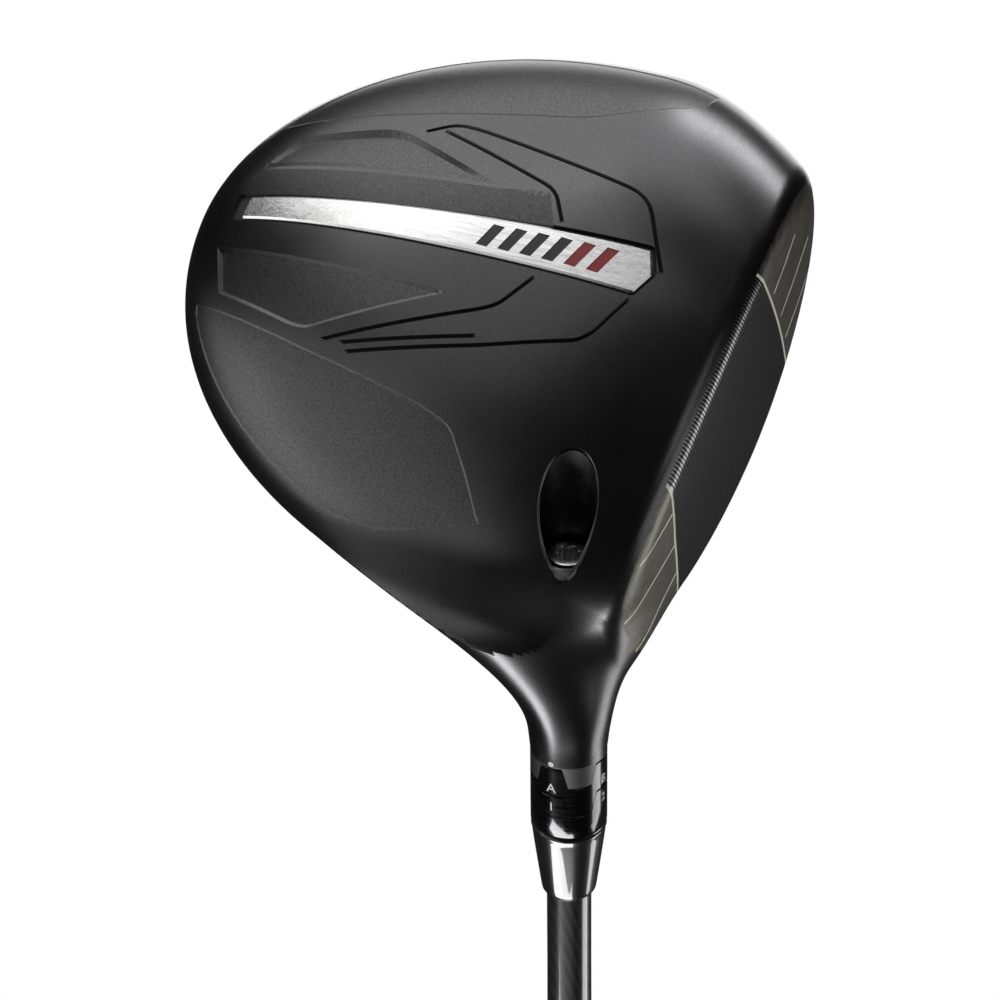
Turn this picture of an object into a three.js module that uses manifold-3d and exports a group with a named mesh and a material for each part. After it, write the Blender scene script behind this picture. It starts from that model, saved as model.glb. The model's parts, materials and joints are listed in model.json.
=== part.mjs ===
// A golf driver: a hollow 460 cc head, an adjustable hosel, a graphite shaft and a rubber grip.
//
// Units are millimetres. The ground is z = 0 and +Z is up. The head stands soled at address:
// the face looks along -Y, the toe points along -X and the shaft leaves the heel towards +X.
// The origin is the middle of the small flat on the sole that the head rests on.
//
// Everything on the shaft is turned about one tilted line, the shaft axis. Along it, a height
// is measured from the point where the axis meets the ground.

import * as THREE from 'three';
import Module from 'manifold-3d';
import { mergeVertices } from 'three/addons/utils/BufferGeometryUtils.js';
import { LoftGeometry } from 'three/addons/geometries/LoftGeometry.js';

const wasm = await Module();
wasm.setup();

// ---------------------------------------------------------------- driving dimensions

const LIE = THREE.MathUtils.degToRad(58);
const LOFT = THREE.MathUtils.degToRad(9);
const GAP = 0.3;                      // clearance between neighbouring pieces

// shaft axis on the ground, relative to the lowest point of the sole
const SOLE_LOW = { x: -5, y: 12 };
const AXIS_X = 30.3;
const AXIS_Y = -14.4;

// head body: two half-domes on a common belt line
const BELT = {
  x: 0.5, y: 2.5,                     // where the four quarter outlines meet
  toe: 53.5, heel: 56, back: 80, front: 61,
  height: 27, riseToHeel: 0.06, riseToBack: -0.045,
  crown: 37, sole: 27,                // dome heights above and below the belt
  quarterBlend: 12, halfBlend: 3,     // how gently quarters, and crown and sole, run together
  scale: 0.75,                        // brings the field near a true distance
};
// exponents of the outlines: 2 is an ellipse, less is more pointed
const PLAN_POWER = { toeFront: 1.58, heelFront: 1.98, toeBack: 1.93, heelBack: 2.03 };
const DOME_POWER = { sole: 1.95, crown: 2.2 };
const FACE = { y: -34, bulge: 305, roll: 305, foot: 5, middle: 33.5, edge: 3.5 };
const FACE_SEAM = { behind: 7, lean: 0.7 * LOFT };
// the hosel is straight down to flareTop, then leans, sweeps back and swells into the head
const HOSEL = {
  radius: 7.15, flareTop: 63.5, inside: 47,
  lean: 0.21, sweep: 0.56, swell: 0.17, bend: 20, blend: 18.5,
  scale: 0.85,
};
const CROWN_EDGE = { x: -1, y: 24, toe: 46, heel: 40, back: 53, front: 38, power: 0.87, corners: 48 };

// heights along the shaft axis
const HOSEL_TOP = 71;
const RING_TOP = 77.5;
const SLEEVE_TOP = 85.2;
const FERRULE_TOP = 101.7;
const CLUB_LENGTH = 1156;
const GRIP_LENGTH = 272;
const SEAT = { low: 30.8, high: 33.6 };      // the web that the hosel screw pulls against
const SCREW = { low: 24.6, top: 44, headTop: 29.2, headRadius: 3.8, radius: 2.45 };
const O_RING = { along: 70, radius: 5.4, section: 0.28, halfHeight: 0.4, grooveHalf: 0.7 };

// radii about the shaft axis
const PORT_RADIUS = 5.2;
const BORE_RADIUS = 5.95;
const TUBE_RADIUS = 6.75;            // the tube inside the head, from the sole to the hosel
const SPLINE_RADIUS = 5.6;
const TIP_RADIUS = 4.2;
const BUTT_RADIUS = 7.6;
const GRIP_RADIUS = 13.5;            // at the cap

// wall thicknesses of the head
const WALL = 1.1;
const CROWN_WALL = 1.0;
const FACE_WALL = 2.4;
const BOND = 0.3;                     // adhesive layers
const SHAFT_WALL = { tip: 1.3, middle: 1.1, butt: 0.9 };

const TURNS = 24;                     // facets around every turned piece

// ---------------------------------------------------------------- the head's surface

const smoothMin = (a, b, k) => {
  const h = THREE.MathUtils.clamp(0.5 + 0.5 * (b - a) / k, 0, 1);
  return b * (1 - h) + a * h - k * h * (1 - h);
};
const smoothMax = (a, b, k) => -smoothMin(-a, -b, k);
const step = (value, width) => 0.5 + 0.5 * Math.tanh(value / width);
const mix = THREE.MathUtils.lerp;

// crown and sole: negative inside, about a distance in millimetres near the surface
function domes(x, y, z) {
  const dx = x - BELT.x;
  const dy = y - BELT.y;
  const heel = step(dx, BELT.quarterBlend);
  const back = step(dy, BELT.quarterBlend);
  const power = mix(
    mix(PLAN_POWER.toeFront, PLAN_POWER.heelFront, heel),
    mix(PLAN_POWER.toeBack, PLAN_POWER.heelBack, heel),
    back,
  );
  const across = Math.abs(dx / mix(BELT.toe, BELT.heel, heel));
  const along = Math.abs(dy / mix(BELT.front, BELT.back, back));
  const radial = (across ** power + along ** power) ** (1 / power);
  const dz = z - (BELT.height + BELT.riseToHeel * dx + BELT.riseToBack * dy);
  const up = step(dz, BELT.halfBlend);
  const shape = mix(DOME_POWER.sole, DOME_POWER.crown, up);
  const tall = Math.abs(dz / mix(BELT.sole, BELT.crown, up)) ** 2;
  const gauge = (radial ** shape + tall) ** (1 / Math.min(shape, 2));
  return BELT.scale * Math.hypot(dx, dy, dz) * (1 - 1 / Math.max(gauge, 1e-3));
}

// the struck face, curved both ways: positive in front of it
function faceDistance(x, y, z) {
  const surface = FACE.y + x * x / (2 * FACE.bulge) + (z - FACE.foot) * Math.tan(LOFT)
    + (z - FACE.middle) ** 2 / (2 * FACE.roll);
  return (surface - y) * Math.cos(LOFT);
}

// the hosel tube, which swells and leans into the head below its straight part
function hoselDistance(x, y, z) {
  const along = (x - AXIS_X) * Math.cos(LIE) + z * Math.sin(LIE);
  const drop = Math.max(HOSEL.flareTop - along, 0) ** 2 / HOSEL.bend;
  const toeward = -(x - AXIS_X) * Math.sin(LIE) + z * Math.cos(LIE) - HOSEL.lean * drop;
  const backward = y - AXIS_Y - HOSEL.sweep * drop;
  const tube = HOSEL.scale * (Math.hypot(toeward, backward) - HOSEL.radius - HOSEL.swell * drop);
  return Math.max(tube, HOSEL.inside - along);
}

function headDistance(x, y, z) {
  const body = smoothMax(domes(x, y, z), faceDistance(x, y, z), FACE.edge);
  return smoothMin(body, hoselDistance(x, y, z), HOSEL.blend);
}

// the point where a ray from inside the head leaves it
const STRIDE = 1.5;
const HALVINGS = 24;
function castOut(origin, direction) {
  let inside = 0;
  let outside = 0;
  const probe = new THREE.Vector3();
  const value = (reach) => {
    probe.copy(direction).multiplyScalar(reach).add(origin);
    return headDistance(probe.x, probe.y, probe.z);
  };
  while (value(outside) < 0) {
    inside = outside;
    outside += STRIDE;
  }
  for (let i = 0; i < HALVINGS; i++) {
    const middle = (inside + outside) / 2;
    if (value(middle) < 0) inside = middle;
    else outside = middle;
  }
  value((inside + outside) / 2);
  return probe.clone();
}

function outwardNormal(p) {
  const e = 0.02;
  return new THREE.Vector3(
    headDistance(p.x + e, p.y, p.z) - headDistance(p.x - e, p.y, p.z),
    headDistance(p.x, p.y + e, p.z) - headDistance(p.x, p.y - e, p.z),
    headDistance(p.x, p.y, p.z + e) - headDistance(p.x, p.y, p.z - e),
  ).normalize();
}

// Sections of the head: square to the hosel at first, then fanning about a line above the
// crown until they stand upright, then marching to the toe.
const RING_POINTS = 40;
const FAN_PIVOT = new THREE.Vector3(52, 0, 60);
const FAN_STEPS = 7;
const MARCH = { steps: 16, toeEnd: -51.2, heelCentreZ: 34, centreZ: 29, settle: 6, crowding: 0.95 };

function headSections() {
  const stations = [];
  const axisAt = (along) => new THREE.Vector3(
    AXIS_X + along * Math.cos(LIE), AXIS_Y, along * Math.sin(LIE));
  const pivotAlong = (FAN_PIVOT.x - AXIS_X) * Math.cos(LIE) + FAN_PIVOT.z * Math.sin(LIE);
  const beltMiddle = (x) => {
    const reach = Math.min(Math.abs((x - BELT.x) / (x < BELT.x ? BELT.toe : BELT.heel)), 0.999);
    const span = Math.sqrt(1 - reach * reach);
    return (BELT.y + BELT.back * span + Math.max(FACE.y + 4, BELT.y - BELT.front * span)) / 2;
  };
  for (const along of [HOSEL_TOP, HOSEL_TOP - 5]) {
    stations.push({ centre: axisAt(along), tilt: LIE });
  }
  const fanReach = FAN_PIVOT.distanceTo(axisAt(pivotAlong).setY(0));
  for (let i = 0; i <= FAN_STEPS; i++) {
    const turn = i / FAN_STEPS;
    const tilt = LIE * (1 - turn);
    const reach = mix(fanReach, FAN_PIVOT.z - MARCH.heelCentreZ, turn);
    const centre = new THREE.Vector3(Math.sin(tilt), 0, -Math.cos(tilt));
    centre.multiplyScalar(reach).add(FAN_PIVOT);
    centre.y = mix(AXIS_Y, beltMiddle(FAN_PIVOT.x), turn ** 1.5);
    stations.push({ centre, tilt });
  }
  for (let i = 1; i <= MARCH.steps; i++) {
    const share = Math.sin(i / MARCH.steps * Math.PI / 2) ** MARCH.crowding;
    const x = mix(FAN_PIVOT.x, MARCH.toeEnd, share);
    const z = mix(MARCH.heelCentreZ, MARCH.centreZ, Math.min(1, i / MARCH.settle));
    stations.push({ centre: new THREE.Vector3(x, beltMiddle(x), z), tilt: 0 });
  }
  return stations.map(({ centre, tilt }) => {
    const up = new THREE.Vector3(-Math.sin(tilt), 0, Math.cos(tilt));
    return Array.from({ length: RING_POINTS }, (_, k) => {
      const angle = 2 * Math.PI * k / RING_POINTS;
      const direction = up.clone().multiplyScalar(Math.sin(angle));
      direction.y -= Math.cos(angle);
      return castOut(centre, direction);
    });
  });
}

const sections = headSections();

// ---------------------------------------------------------------- solids and cuts

function toSolid(geometry) {
  const bare = new THREE.BufferGeometry();
  bare.setAttribute('position', geometry.getAttribute('position').clone());
  if (geometry.index) bare.setIndex(geometry.index.clone());
  const merged = mergeVertices(bare, 1e-4);
  const position = merged.getAttribute('position');
  const corners = [];
  let volume = 0;
  const [a, b, c] = [new THREE.Vector3(), new THREE.Vector3(), new THREE.Vector3()];
  for (let i = 0; i < merged.index.count; i += 3) {
    const triangle = [0, 1, 2].map((k) => merged.index.getX(i + k));
    if (new Set(triangle).size < 3) continue;
    [a, b, c].forEach((v, k) => v.fromBufferAttribute(position, triangle[k]));
    volume += a.dot(b.cross(c));
    corners.push(triangle);
  }
  if (volume < 0) corners.forEach((triangle) => triangle.reverse());
  return new wasm.Manifold(new wasm.Mesh({
    numProp: 3,
    vertProperties: new Float32Array(position.array),
    triVerts: new Uint32Array(corners.flat()),
  }));
}

function toGeometry(solid) {
  const { vertProperties, triVerts } = solid.getMesh();
  const geometry = new THREE.BufferGeometry();
  geometry.setAttribute('position', new THREE.BufferAttribute(vertProperties, 3));
  geometry.setIndex(new THREE.BufferAttribute(triVerts, 1));
  return geometry;
}

// the head's skin moved inwards by a depth, as a solid
const skins = new Map();
function skin(depth) {
  if (!skins.has(depth)) {
    const rings = sections.map((ring) => ring.map(
      (p) => p.clone().addScaledVector(outwardNormal(p), -depth)));
    skins.set(depth, toSolid(new LoftGeometry(rings, { capStart: true, capEnd: true })));
  }
  return skins.get(depth);
}

// an upright prism over a plan outline
function prism(outline, low, high) {
  const shape = new THREE.Shape(outline.map(([x, y]) => new THREE.Vector2(x, y)));
  const geometry = new THREE.ExtrudeGeometry(shape, { depth: high - low, bevelEnabled: false });
  return toSolid(geometry.translate(0, 0, low));
}

// a closed profile of [radius, height] turned about local Z
function turned(profile) {
  const points = profile.map(([radius, along]) => new THREE.Vector2(radius, along));
  const first = profile[0];
  const last = profile[profile.length - 1];
  if (first[0] > 0 || last[0] > 0) points.push(points[0].clone());
  return new THREE.LatheGeometry(points, TURNS).rotateX(Math.PI / 2);
}

// the same, standing on the shaft axis in the head's frame
function onAxis(profile) {
  return toSolid(turned(profile).rotateY(Math.PI / 2 - LIE).translate(AXIS_X, AXIS_Y, 0));
}

const rod = (radius, low, high) => onAxis([[0, low], [radius, low], [radius, high], [0, high]]);

// a plan outline grown outwards by a margin (corners are mitred)
function grow(outline, margin) {
  const count = outline.length;
  const turn = Math.sign(THREE.ShapeUtils.area(outline.map(([x, y]) => ({ x, y }))));
  const normal = (i) => {
    const [a, b] = [outline[i % count], outline[(i + 1) % count]];
    const length = Math.hypot(b[0] - a[0], b[1] - a[1]);
    return [turn * (b[1] - a[1]) / length, -turn * (b[0] - a[0]) / length];
  };
  return outline.map(([x, y], i) => {
    const n = normal(i + count - 1);
    const m = normal(i);
    const scale = margin / (1 + n[0] * m[0] + n[1] * m[1]);
    return [x + scale * (n[0] + m[0]), y + scale * (n[1] + m[1])];
  });
}

// ---------------------------------------------------------------- outlines in plan

// the crown shell's edge: four quarter-superellipses
function crownEdge() {
  const { x, y, toe, heel, back, front, power, corners } = CROWN_EDGE;
  return Array.from({ length: corners }, (_, k) => {
    const angle = 2 * Math.PI * k / corners;
    const [c, s] = [Math.cos(angle), Math.sin(angle)];
    const across = c > 0 ? heel : toe;
    const along = s > 0 ? back : front;
    return [
      x + across * Math.sign(c) * Math.abs(c) ** power,
      y + along * Math.sign(s) * Math.abs(s) ** power,
    ];
  });
}

// the metal bar let into the sole, narrow at the back and bevelled at the front
const BAR_OUTLINE = [[-2.0, 69.0], [2.6, 69.3], [-0.7, -13.3], [-5.5, -15.4], [-10.0, -13.3]];

function disc(x, y, radiusX, radiusY, count = 24) {
  return Array.from({ length: count }, (_, k) => {
    const angle = 2 * Math.PI * k / count;
    return [x + radiusX * Math.cos(angle), y + radiusY * Math.sin(angle)];
  });
}

// plan outlines stand as prisms through the crown, or through the sole
const ABOVE = [30, 90];
const BELOW = [-10, 26];
const overCrown = (margin) => prism(grow(crownEdge(), margin), ...ABOVE);
const underSole = (outline) => prism(outline, ...BELOW);

// ---------------------------------------------------------------- pieces of the head

const BAR_DEPTH = { top: 0.15, thick: 1.0 };
const POCKET_WALL = 1.2;              // metal left behind the bar's and the crown's pockets
const BAR_MARGIN = { pocket: 0.8, boss: 3.2, bond: -0.6 };
const CROWN_MARGIN = { ledgeOuter: 3, ledgeInner: -6, bondOuter: -0.8, bondInner: -5 };
const barUnderside = BAR_DEPTH.top + BAR_DEPTH.thick;
const barFloor = barUnderside + 2 * GAP + BOND;
const ledgeTop = CROWN_WALL + 2 * GAP + BOND;

// the space in front of the seam where the face cup meets the casting
const FACE_END = 50;                  // how far the cup wraps towards the heel
const WIDE = 200;                     // larger than the head
function faceZone(extra) {
  const block = new THREE.BoxGeometry(WIDE, WIDE, WIDE);
  block.translate(FACE_END + extra - WIDE / 2, extra - WIDE / 2, 0);
  return toSolid(block.rotateX(-FACE_SEAM.lean).translate(0, FACE.y + FACE_SEAM.behind, FACE.foot));
}

const belowGround = () => toSolid(
  new THREE.BoxGeometry(WIDE, 2 * WIDE, WIDE).translate(0, 0, -WIDE / 2));

function headCasting() {
  const crownPocket = overCrown(GAP).subtract(skin(ledgeTop));
  const crownHole = overCrown(CROWN_MARGIN.ledgeInner);
  const ledge = overCrown(CROWN_MARGIN.ledgeOuter)
    .subtract(crownHole)
    .subtract(skin(ledgeTop + POCKET_WALL));
  const barBoss = underSole(grow(BAR_OUTLINE, BAR_MARGIN.boss)).subtract(skin(barFloor + POCKET_WALL));
  const barPocket = underSole(grow(BAR_OUTLINE, BAR_MARGIN.pocket)).subtract(skin(barFloor));
  const hollow = skin(WALL).subtract(ledge).subtract(barBoss);
  const tube = rod(TUBE_RADIUS, 0, HOSEL_TOP + 1).intersect(skin(0));
  const wrenchPort = rod(PORT_RADIUS, -5, SEAT.low);
  const screwHole = rod(SCREW.radius + 0.45, SEAT.low - 1, SEAT.high + 1);
  const sleeveBore = rod(BORE_RADIUS, SEAT.high, HOSEL_TOP + 5);
  return skin(0)
    .subtract(hollow)
    .subtract(crownPocket)
    .subtract(crownHole)
    .subtract(faceZone(GAP))
    .subtract(barPocket)
    .add(tube)
    .subtract(wrenchPort)
    .subtract(screwHole)
    .subtract(sleeveBore)
    .subtract(belowGround());
}

const faceCup = () => skin(0).subtract(skin(FACE_WALL)).intersect(faceZone(0)).subtract(belowGround());
const crownShell = () => skin(0).subtract(skin(CROWN_WALL)).intersect(overCrown(0));
const crownBond = () => skin(CROWN_WALL + GAP).subtract(skin(CROWN_WALL + GAP + BOND))
  .intersect(overCrown(CROWN_MARGIN.bondOuter)).subtract(overCrown(CROWN_MARGIN.bondInner));
const soleBar = () => skin(BAR_DEPTH.top).subtract(skin(barUnderside))
  .intersect(underSole(BAR_OUTLINE)).subtract(belowGround());
const barBond = () => skin(barUnderside + GAP).subtract(skin(barUnderside + GAP + BOND))
  .intersect(underSole(grow(BAR_OUTLINE, BAR_MARGIN.bond)));

// a mass bonded behind the bar, and a pad of sticky resin that catches loose crumbs
const MASS = { x: 2, y: 66, halfWidth: 13, halfLength: 9, thick: 5 };
const PAD = { x: -30, y: 15, radius: 9, thick: 2 };
const aboveBoss = barFloor + POCKET_WALL + GAP;
const rearMass = () => skin(aboveBoss).subtract(skin(aboveBoss + MASS.thick))
  .intersect(underSole(disc(MASS.x, MASS.y, MASS.halfWidth, MASS.halfLength)));
const resinPad = () => skin(WALL + GAP).subtract(skin(WALL + GAP + PAD.thick))
  .intersect(underSole(disc(PAD.x, PAD.y, PAD.radius, PAD.radius, 16)));

// ---------------------------------------------------------------- pieces on the shaft axis

const SOCKET = { lobes: 6, corners: 36, radius: 2.05, lobe: 0.25, depth: 2.8 };
const CHAMFER = 0.5;

function hoselScrew() {
  const { low, top, headTop, headRadius, radius } = SCREW;
  const body = toSolid(turned([
    [0, low], [headRadius - CHAMFER, low], [headRadius, low + CHAMFER], [headRadius, headTop],
    [radius, headTop], [radius, top - CHAMFER], [radius - CHAMFER, top], [0, top],
  ]));
  const socket = Array.from({ length: SOCKET.corners }, (_, k) => {
    const angle = 2 * Math.PI * k / SOCKET.corners;
    const reach = SOCKET.radius + SOCKET.lobe * Math.cos(SOCKET.lobes * angle);
    return [reach * Math.cos(angle), reach * Math.sin(angle)];
  });
  return body.subtract(prism(socket, low - 1, low + SOCKET.depth));
}

const collar = (inner, outer, low, high) => turned(
  [[inner, low], [outer, low], [outer, high], [inner, high]]);
const screwWasher = () => collar(SCREW.radius + 0.35, 4.7, SCREW.headTop + GAP, SEAT.low - GAP);
const screwRetainer = () => collar(SCREW.radius + GAP, 4.9, SEAT.high + GAP, SEAT.high + 1.7);

const SLEEVE_FOOT = SEAT.high + 2.2;
const SHAFT_FOOT = 48.6;
const shaftBore = TIP_RADIUS + GAP;
const grooveRadius = O_RING.radius - O_RING.section - 0.25;

const shaftSleeve = () => turned([
  [SCREW.radius + GAP, SLEEVE_FOOT],
  [SPLINE_RADIUS - CHAMFER, SLEEVE_FOOT],
  [SPLINE_RADIUS, SLEEVE_FOOT + CHAMFER],
  [SPLINE_RADIUS, O_RING.along - O_RING.grooveHalf],
  [grooveRadius, O_RING.along - O_RING.grooveHalf],
  [grooveRadius, O_RING.along + O_RING.grooveHalf],
  [SPLINE_RADIUS, O_RING.along + O_RING.grooveHalf],
  [SPLINE_RADIUS, RING_TOP],
  [HOSEL.radius, RING_TOP],
  [HOSEL.radius, SLEEVE_TOP - GAP],
  [shaftBore, SLEEVE_TOP - GAP],
  [shaftBore, SHAFT_FOOT - GAP],
  [SCREW.radius + GAP, SHAFT_FOOT - GAP],
]);

const sleeveORing = () => turned(Array.from({ length: 8 }, (_, k) => {
  const angle = 2 * Math.PI * (k + 0.5) / 8;
  return [O_RING.radius + O_RING.section * Math.cos(angle), O_RING.along + O_RING.halfHeight * Math.sin(angle)];
}));

const adjustmentRing = () => collar(SPLINE_RADIUS + GAP, HOSEL.radius, HOSEL_TOP + GAP, RING_TOP - GAP);

const ferrule = () => turned([
  [shaftBore, SLEEVE_TOP], [HOSEL.radius - 0.05, SLEEVE_TOP], [6.4, 91], [5.35, 100],
  [4.95, FERRULE_TOP - 0.4], [4.75, FERRULE_TOP], [shaftBore, FERRULE_TOP],
]);

// the shaft is parallel at the tip and then tapers evenly to the butt
const TAPER_START = 120;
const TAPER_MIDDLE = 600;
const BUTT_END = CLUB_LENGTH - 5;
const shaftRadius = (along) => mix(TIP_RADIUS, BUTT_RADIUS,
  THREE.MathUtils.clamp((along - TAPER_START) / (BUTT_END - TAPER_START), 0, 1));

const shaft = () => turned([
  [TIP_RADIUS - SHAFT_WALL.tip, SHAFT_FOOT],
  [TIP_RADIUS, SHAFT_FOOT],
  [TIP_RADIUS, TAPER_START],
  [shaftRadius(TAPER_MIDDLE), TAPER_MIDDLE],
  [BUTT_RADIUS, BUTT_END],
  [BUTT_RADIUS - SHAFT_WALL.butt, BUTT_END],
  [shaftRadius(TAPER_MIDDLE) - SHAFT_WALL.middle, TAPER_MIDDLE],
  [TIP_RADIUS - SHAFT_WALL.tip, TAPER_START],
]);
const PLUG = { radius: 2.5, low: 52, high: 60 };
const tipPlug = () => turned(
  [[0, PLUG.low], [PLUG.radius, PLUG.low], [PLUG.radius, PLUG.high], [0, PLUG.high]]);

const GRIP_MOUTH = CLUB_LENGTH - GRIP_LENGTH;
const tapeInner = (along) => shaftRadius(along) + GAP;
const tapeOuter = (along) => tapeInner(along) + 0.25;
const VENT_RADIUS = 1;
const gripTape = () => {
  const [low, high] = [GRIP_MOUTH + 4, BUTT_END - 3];
  return turned([
    [tapeInner(low), low], [tapeOuter(low), low],
    [tapeOuter(high), high], [tapeInner(high), high],
  ]);
};

const CAP_SEAM = CLUB_LENGTH - 3.2;
const grip = () => turned([
  [tapeOuter(GRIP_MOUTH) + GAP, GRIP_MOUTH], [8.7, GRIP_MOUTH], [9.2, GRIP_MOUTH + 3],
  [10.2, GRIP_MOUTH + 90], [11.6, GRIP_MOUTH + 200], [12.6, GRIP_MOUTH + 245],
  [GRIP_RADIUS, CAP_SEAM - 3], [GRIP_RADIUS, CAP_SEAM - GAP], [3, CAP_SEAM - GAP],
  [3, BUTT_END + GAP], [tapeOuter(BUTT_END) + GAP, BUTT_END + GAP],
]);
const gripCap = () => turned([
  [VENT_RADIUS, CAP_SEAM], [GRIP_RADIUS, CAP_SEAM], [GRIP_RADIUS - 0.1, CAP_SEAM + 1.6],
  [GRIP_RADIUS - 1.1, CLUB_LENGTH - 0.5], [GRIP_RADIUS - 2.5, CLUB_LENGTH], [VENT_RADIUS, CLUB_LENGTH],
]);

// ---------------------------------------------------------------- materials and assembly

const material = (color, roughness, metalness) => new THREE.MeshStandardMaterial(
  { color, roughness, metalness });
const blackGloss = material(0x0a0a0b, 0.12, 0.2);
const satinGrey = material(0x3a3a3c, 0.38, 0.6);
const faceTitanium = material(0x5f5d55, 0.42, 0.9);
const brushedSilver = material(0xc9c9c9, 0.3, 1.0);
const machinedSteel = material(0x8d8f92, 0.3, 1.0);
const tungsten = material(0x6c6c6a, 0.5, 1.0);
const adhesive = material(0x2e2c28, 0.7, 0.0);
const resin = material(0xb49a55, 0.5, 0.0);
const nylon = material(0xd8d6cc, 0.5, 0.0);
const anodised = material(0x101012, 0.2, 0.6);
const graphite = material(0x0c0c0d, 0.15, 0.1);
const cork = material(0x9a8060, 0.9, 0.0);
const tape = material(0xcfc8b4, 0.8, 0.0);
const rubber = material(0x151515, 0.85, 0.0);

function mesh(name, shape, finish) {
  const geometry = shape.isBufferGeometry ? shape : toGeometry(shape);
  const piece = new THREE.Mesh(geometry, finish);
  piece.name = name;
  return piece;
}

const head = new THREE.Group();
head.add(
  mesh('head_casting', headCasting(), satinGrey),
  mesh('face_cup', faceCup(), faceTitanium),
  mesh('crown_shell', crownShell(), blackGloss),
  mesh('crown_adhesive', crownBond(), adhesive),
  mesh('sole_bar', soleBar(), brushedSilver),
  mesh('bar_adhesive', barBond(), adhesive),
  mesh('rear_mass', rearMass(), tungsten),
  mesh('resin_pad', resinPad(), resin),
);

const axis = new THREE.Group();
axis.position.set(AXIS_X, AXIS_Y, 0);
axis.rotation.y = Math.PI / 2 - LIE;
axis.add(
  mesh('hosel_screw', hoselScrew(), machinedSteel),
  mesh('screw_washer', screwWasher(), machinedSteel),
  mesh('screw_retainer', screwRetainer(), nylon),
  mesh('adjustment_ring', adjustmentRing(), anodised),
  mesh('shaft_sleeve', shaftSleeve(), anodised),
  mesh('sleeve_o_ring', sleeveORing(), rubber),
  mesh('ferrule', ferrule(), blackGloss),
  mesh('shaft', shaft(), graphite),
  mesh('tip_plug', tipPlug(), cork),
  mesh('grip_tape', gripTape(), tape),
  mesh('grip', grip(), rubber),
  mesh('grip_cap', gripCap(), rubber),
);

// the sole's resting flat is the origin
const group = new THREE.Group();
head.position.set(-SOLE_LOW.x, -SOLE_LOW.y, 0);
axis.position.x -= SOLE_LOW.x;
axis.position.y -= SOLE_LOW.y;
group.add(head, axis);

export default group;
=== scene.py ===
"""A golf driver, looked at from below its sole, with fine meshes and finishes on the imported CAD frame.

Lengths are millimetres until a mesh is made, and metres in Blender. The head is worked out in its
own frame, HEAD_ORIGIN away from the row's. Everything round the shaft is worked out along the shaft
axis: a height is measured from the ground, and a turn of 0 looks away from the toe.
"""

import json
import math

import bpy
import numpy as np
from mathutils import Matrix, Vector, kdtree
from mathutils.geometry import delaunay_2d_cdt


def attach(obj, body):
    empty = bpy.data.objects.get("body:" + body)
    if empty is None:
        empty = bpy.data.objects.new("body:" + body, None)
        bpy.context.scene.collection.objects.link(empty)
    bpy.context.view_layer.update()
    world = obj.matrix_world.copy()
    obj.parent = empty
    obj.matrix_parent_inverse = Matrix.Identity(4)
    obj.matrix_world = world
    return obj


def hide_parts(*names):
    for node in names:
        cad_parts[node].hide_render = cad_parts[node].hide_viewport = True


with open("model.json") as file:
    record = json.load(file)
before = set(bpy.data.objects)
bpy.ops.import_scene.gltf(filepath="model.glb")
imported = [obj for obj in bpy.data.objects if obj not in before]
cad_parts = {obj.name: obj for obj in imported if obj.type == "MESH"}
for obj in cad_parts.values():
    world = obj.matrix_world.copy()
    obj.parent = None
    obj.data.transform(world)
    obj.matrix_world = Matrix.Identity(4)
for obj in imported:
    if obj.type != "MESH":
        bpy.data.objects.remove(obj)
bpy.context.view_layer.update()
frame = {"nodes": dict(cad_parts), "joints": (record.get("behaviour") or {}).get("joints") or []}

MM = 0.001
HEAD_ORIGIN = np.array([5.0, -12.0, 0.0])

# ------------------------------------------------------------------ what the frame says

shaft_joint = next(j for j in frame["joints"] if j["name"] == "shaft_turn")
AXIS = np.array(shaft_joint["axis"]) / np.linalg.norm(shaft_joint["axis"])
AXIS_FOOT = np.array(shaft_joint["pos_m"]) / MM
HEELWARD = np.cross([0, 1, 0], AXIS)
BACKWARD = np.array([0.0, 1.0, 0.0])


def node_points(node):
    mesh = frame["nodes"][node].data
    flat = np.zeros(len(mesh.vertices) * 3, np.float32)
    mesh.vertices.foreach_get("co", flat)
    return flat.reshape(-1, 3).astype(float) / MM


def span(node):
    """Lowest and highest point of a CAD node along the shaft axis, and its largest radius."""
    offset = node_points(node) - AXIS_FOOT
    along = offset @ AXIS
    radius = np.linalg.norm(offset - along[:, None] * AXIS, axis=1)
    return along.min(), along.max(), radius.max()


# ------------------------------------------------------------------ the head's surface

LIE = math.acos(AXIS[0])
LOFT = math.radians(9)
AXIS_X, AXIS_Y = (AXIS_FOOT - HEAD_ORIGIN)[:2]
BELT_X, BELT_Y, BELT_Z = 0.5, 2.5, 27
BELT_RISE_HEEL, BELT_RISE_BACK = 0.06, -0.045
REACH_TOE, REACH_HEEL, REACH_BACK, REACH_FRONT = 53.5, 56, 80, 61
CROWN_HEIGHT, SOLE_HEIGHT = 37, 27
FACE_Y, FACE_CURVE, FACE_MIDDLE, FACE_EDGE = -34, 305, 33.5, 3.5
HOSEL_RADIUS, FLARE_TOP, INSIDE_TOP = 7.15, 63.5, 47
FLARE_LEAN, FLARE_SWEEP, FLARE_SWELL, FLARE_BLEND, FLARE_REACH = 0.21, 0.56, 0.17, 18.5, 20
QUARTER_BLEND, BELT_BLEND = 12, 3
SOLE_POWER, CROWN_POWER = 1.95, 2.2
FACE_FOOT = 5  # the height that the face's loft turns about


def mix(a, b, share):
    return a + (b - a) * share


def soft_step(value, width):
    return 0.5 + 0.5 * np.tanh(value / width)


def smooth_min(a, b, k):
    h = np.clip(0.5 + 0.5 * (b - a) / k, 0, 1)
    return b * (1 - h) + a * h - k * h * (1 - h)


def smooth_max(a, b, k):
    return -smooth_min(-a, -b, k)


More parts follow.
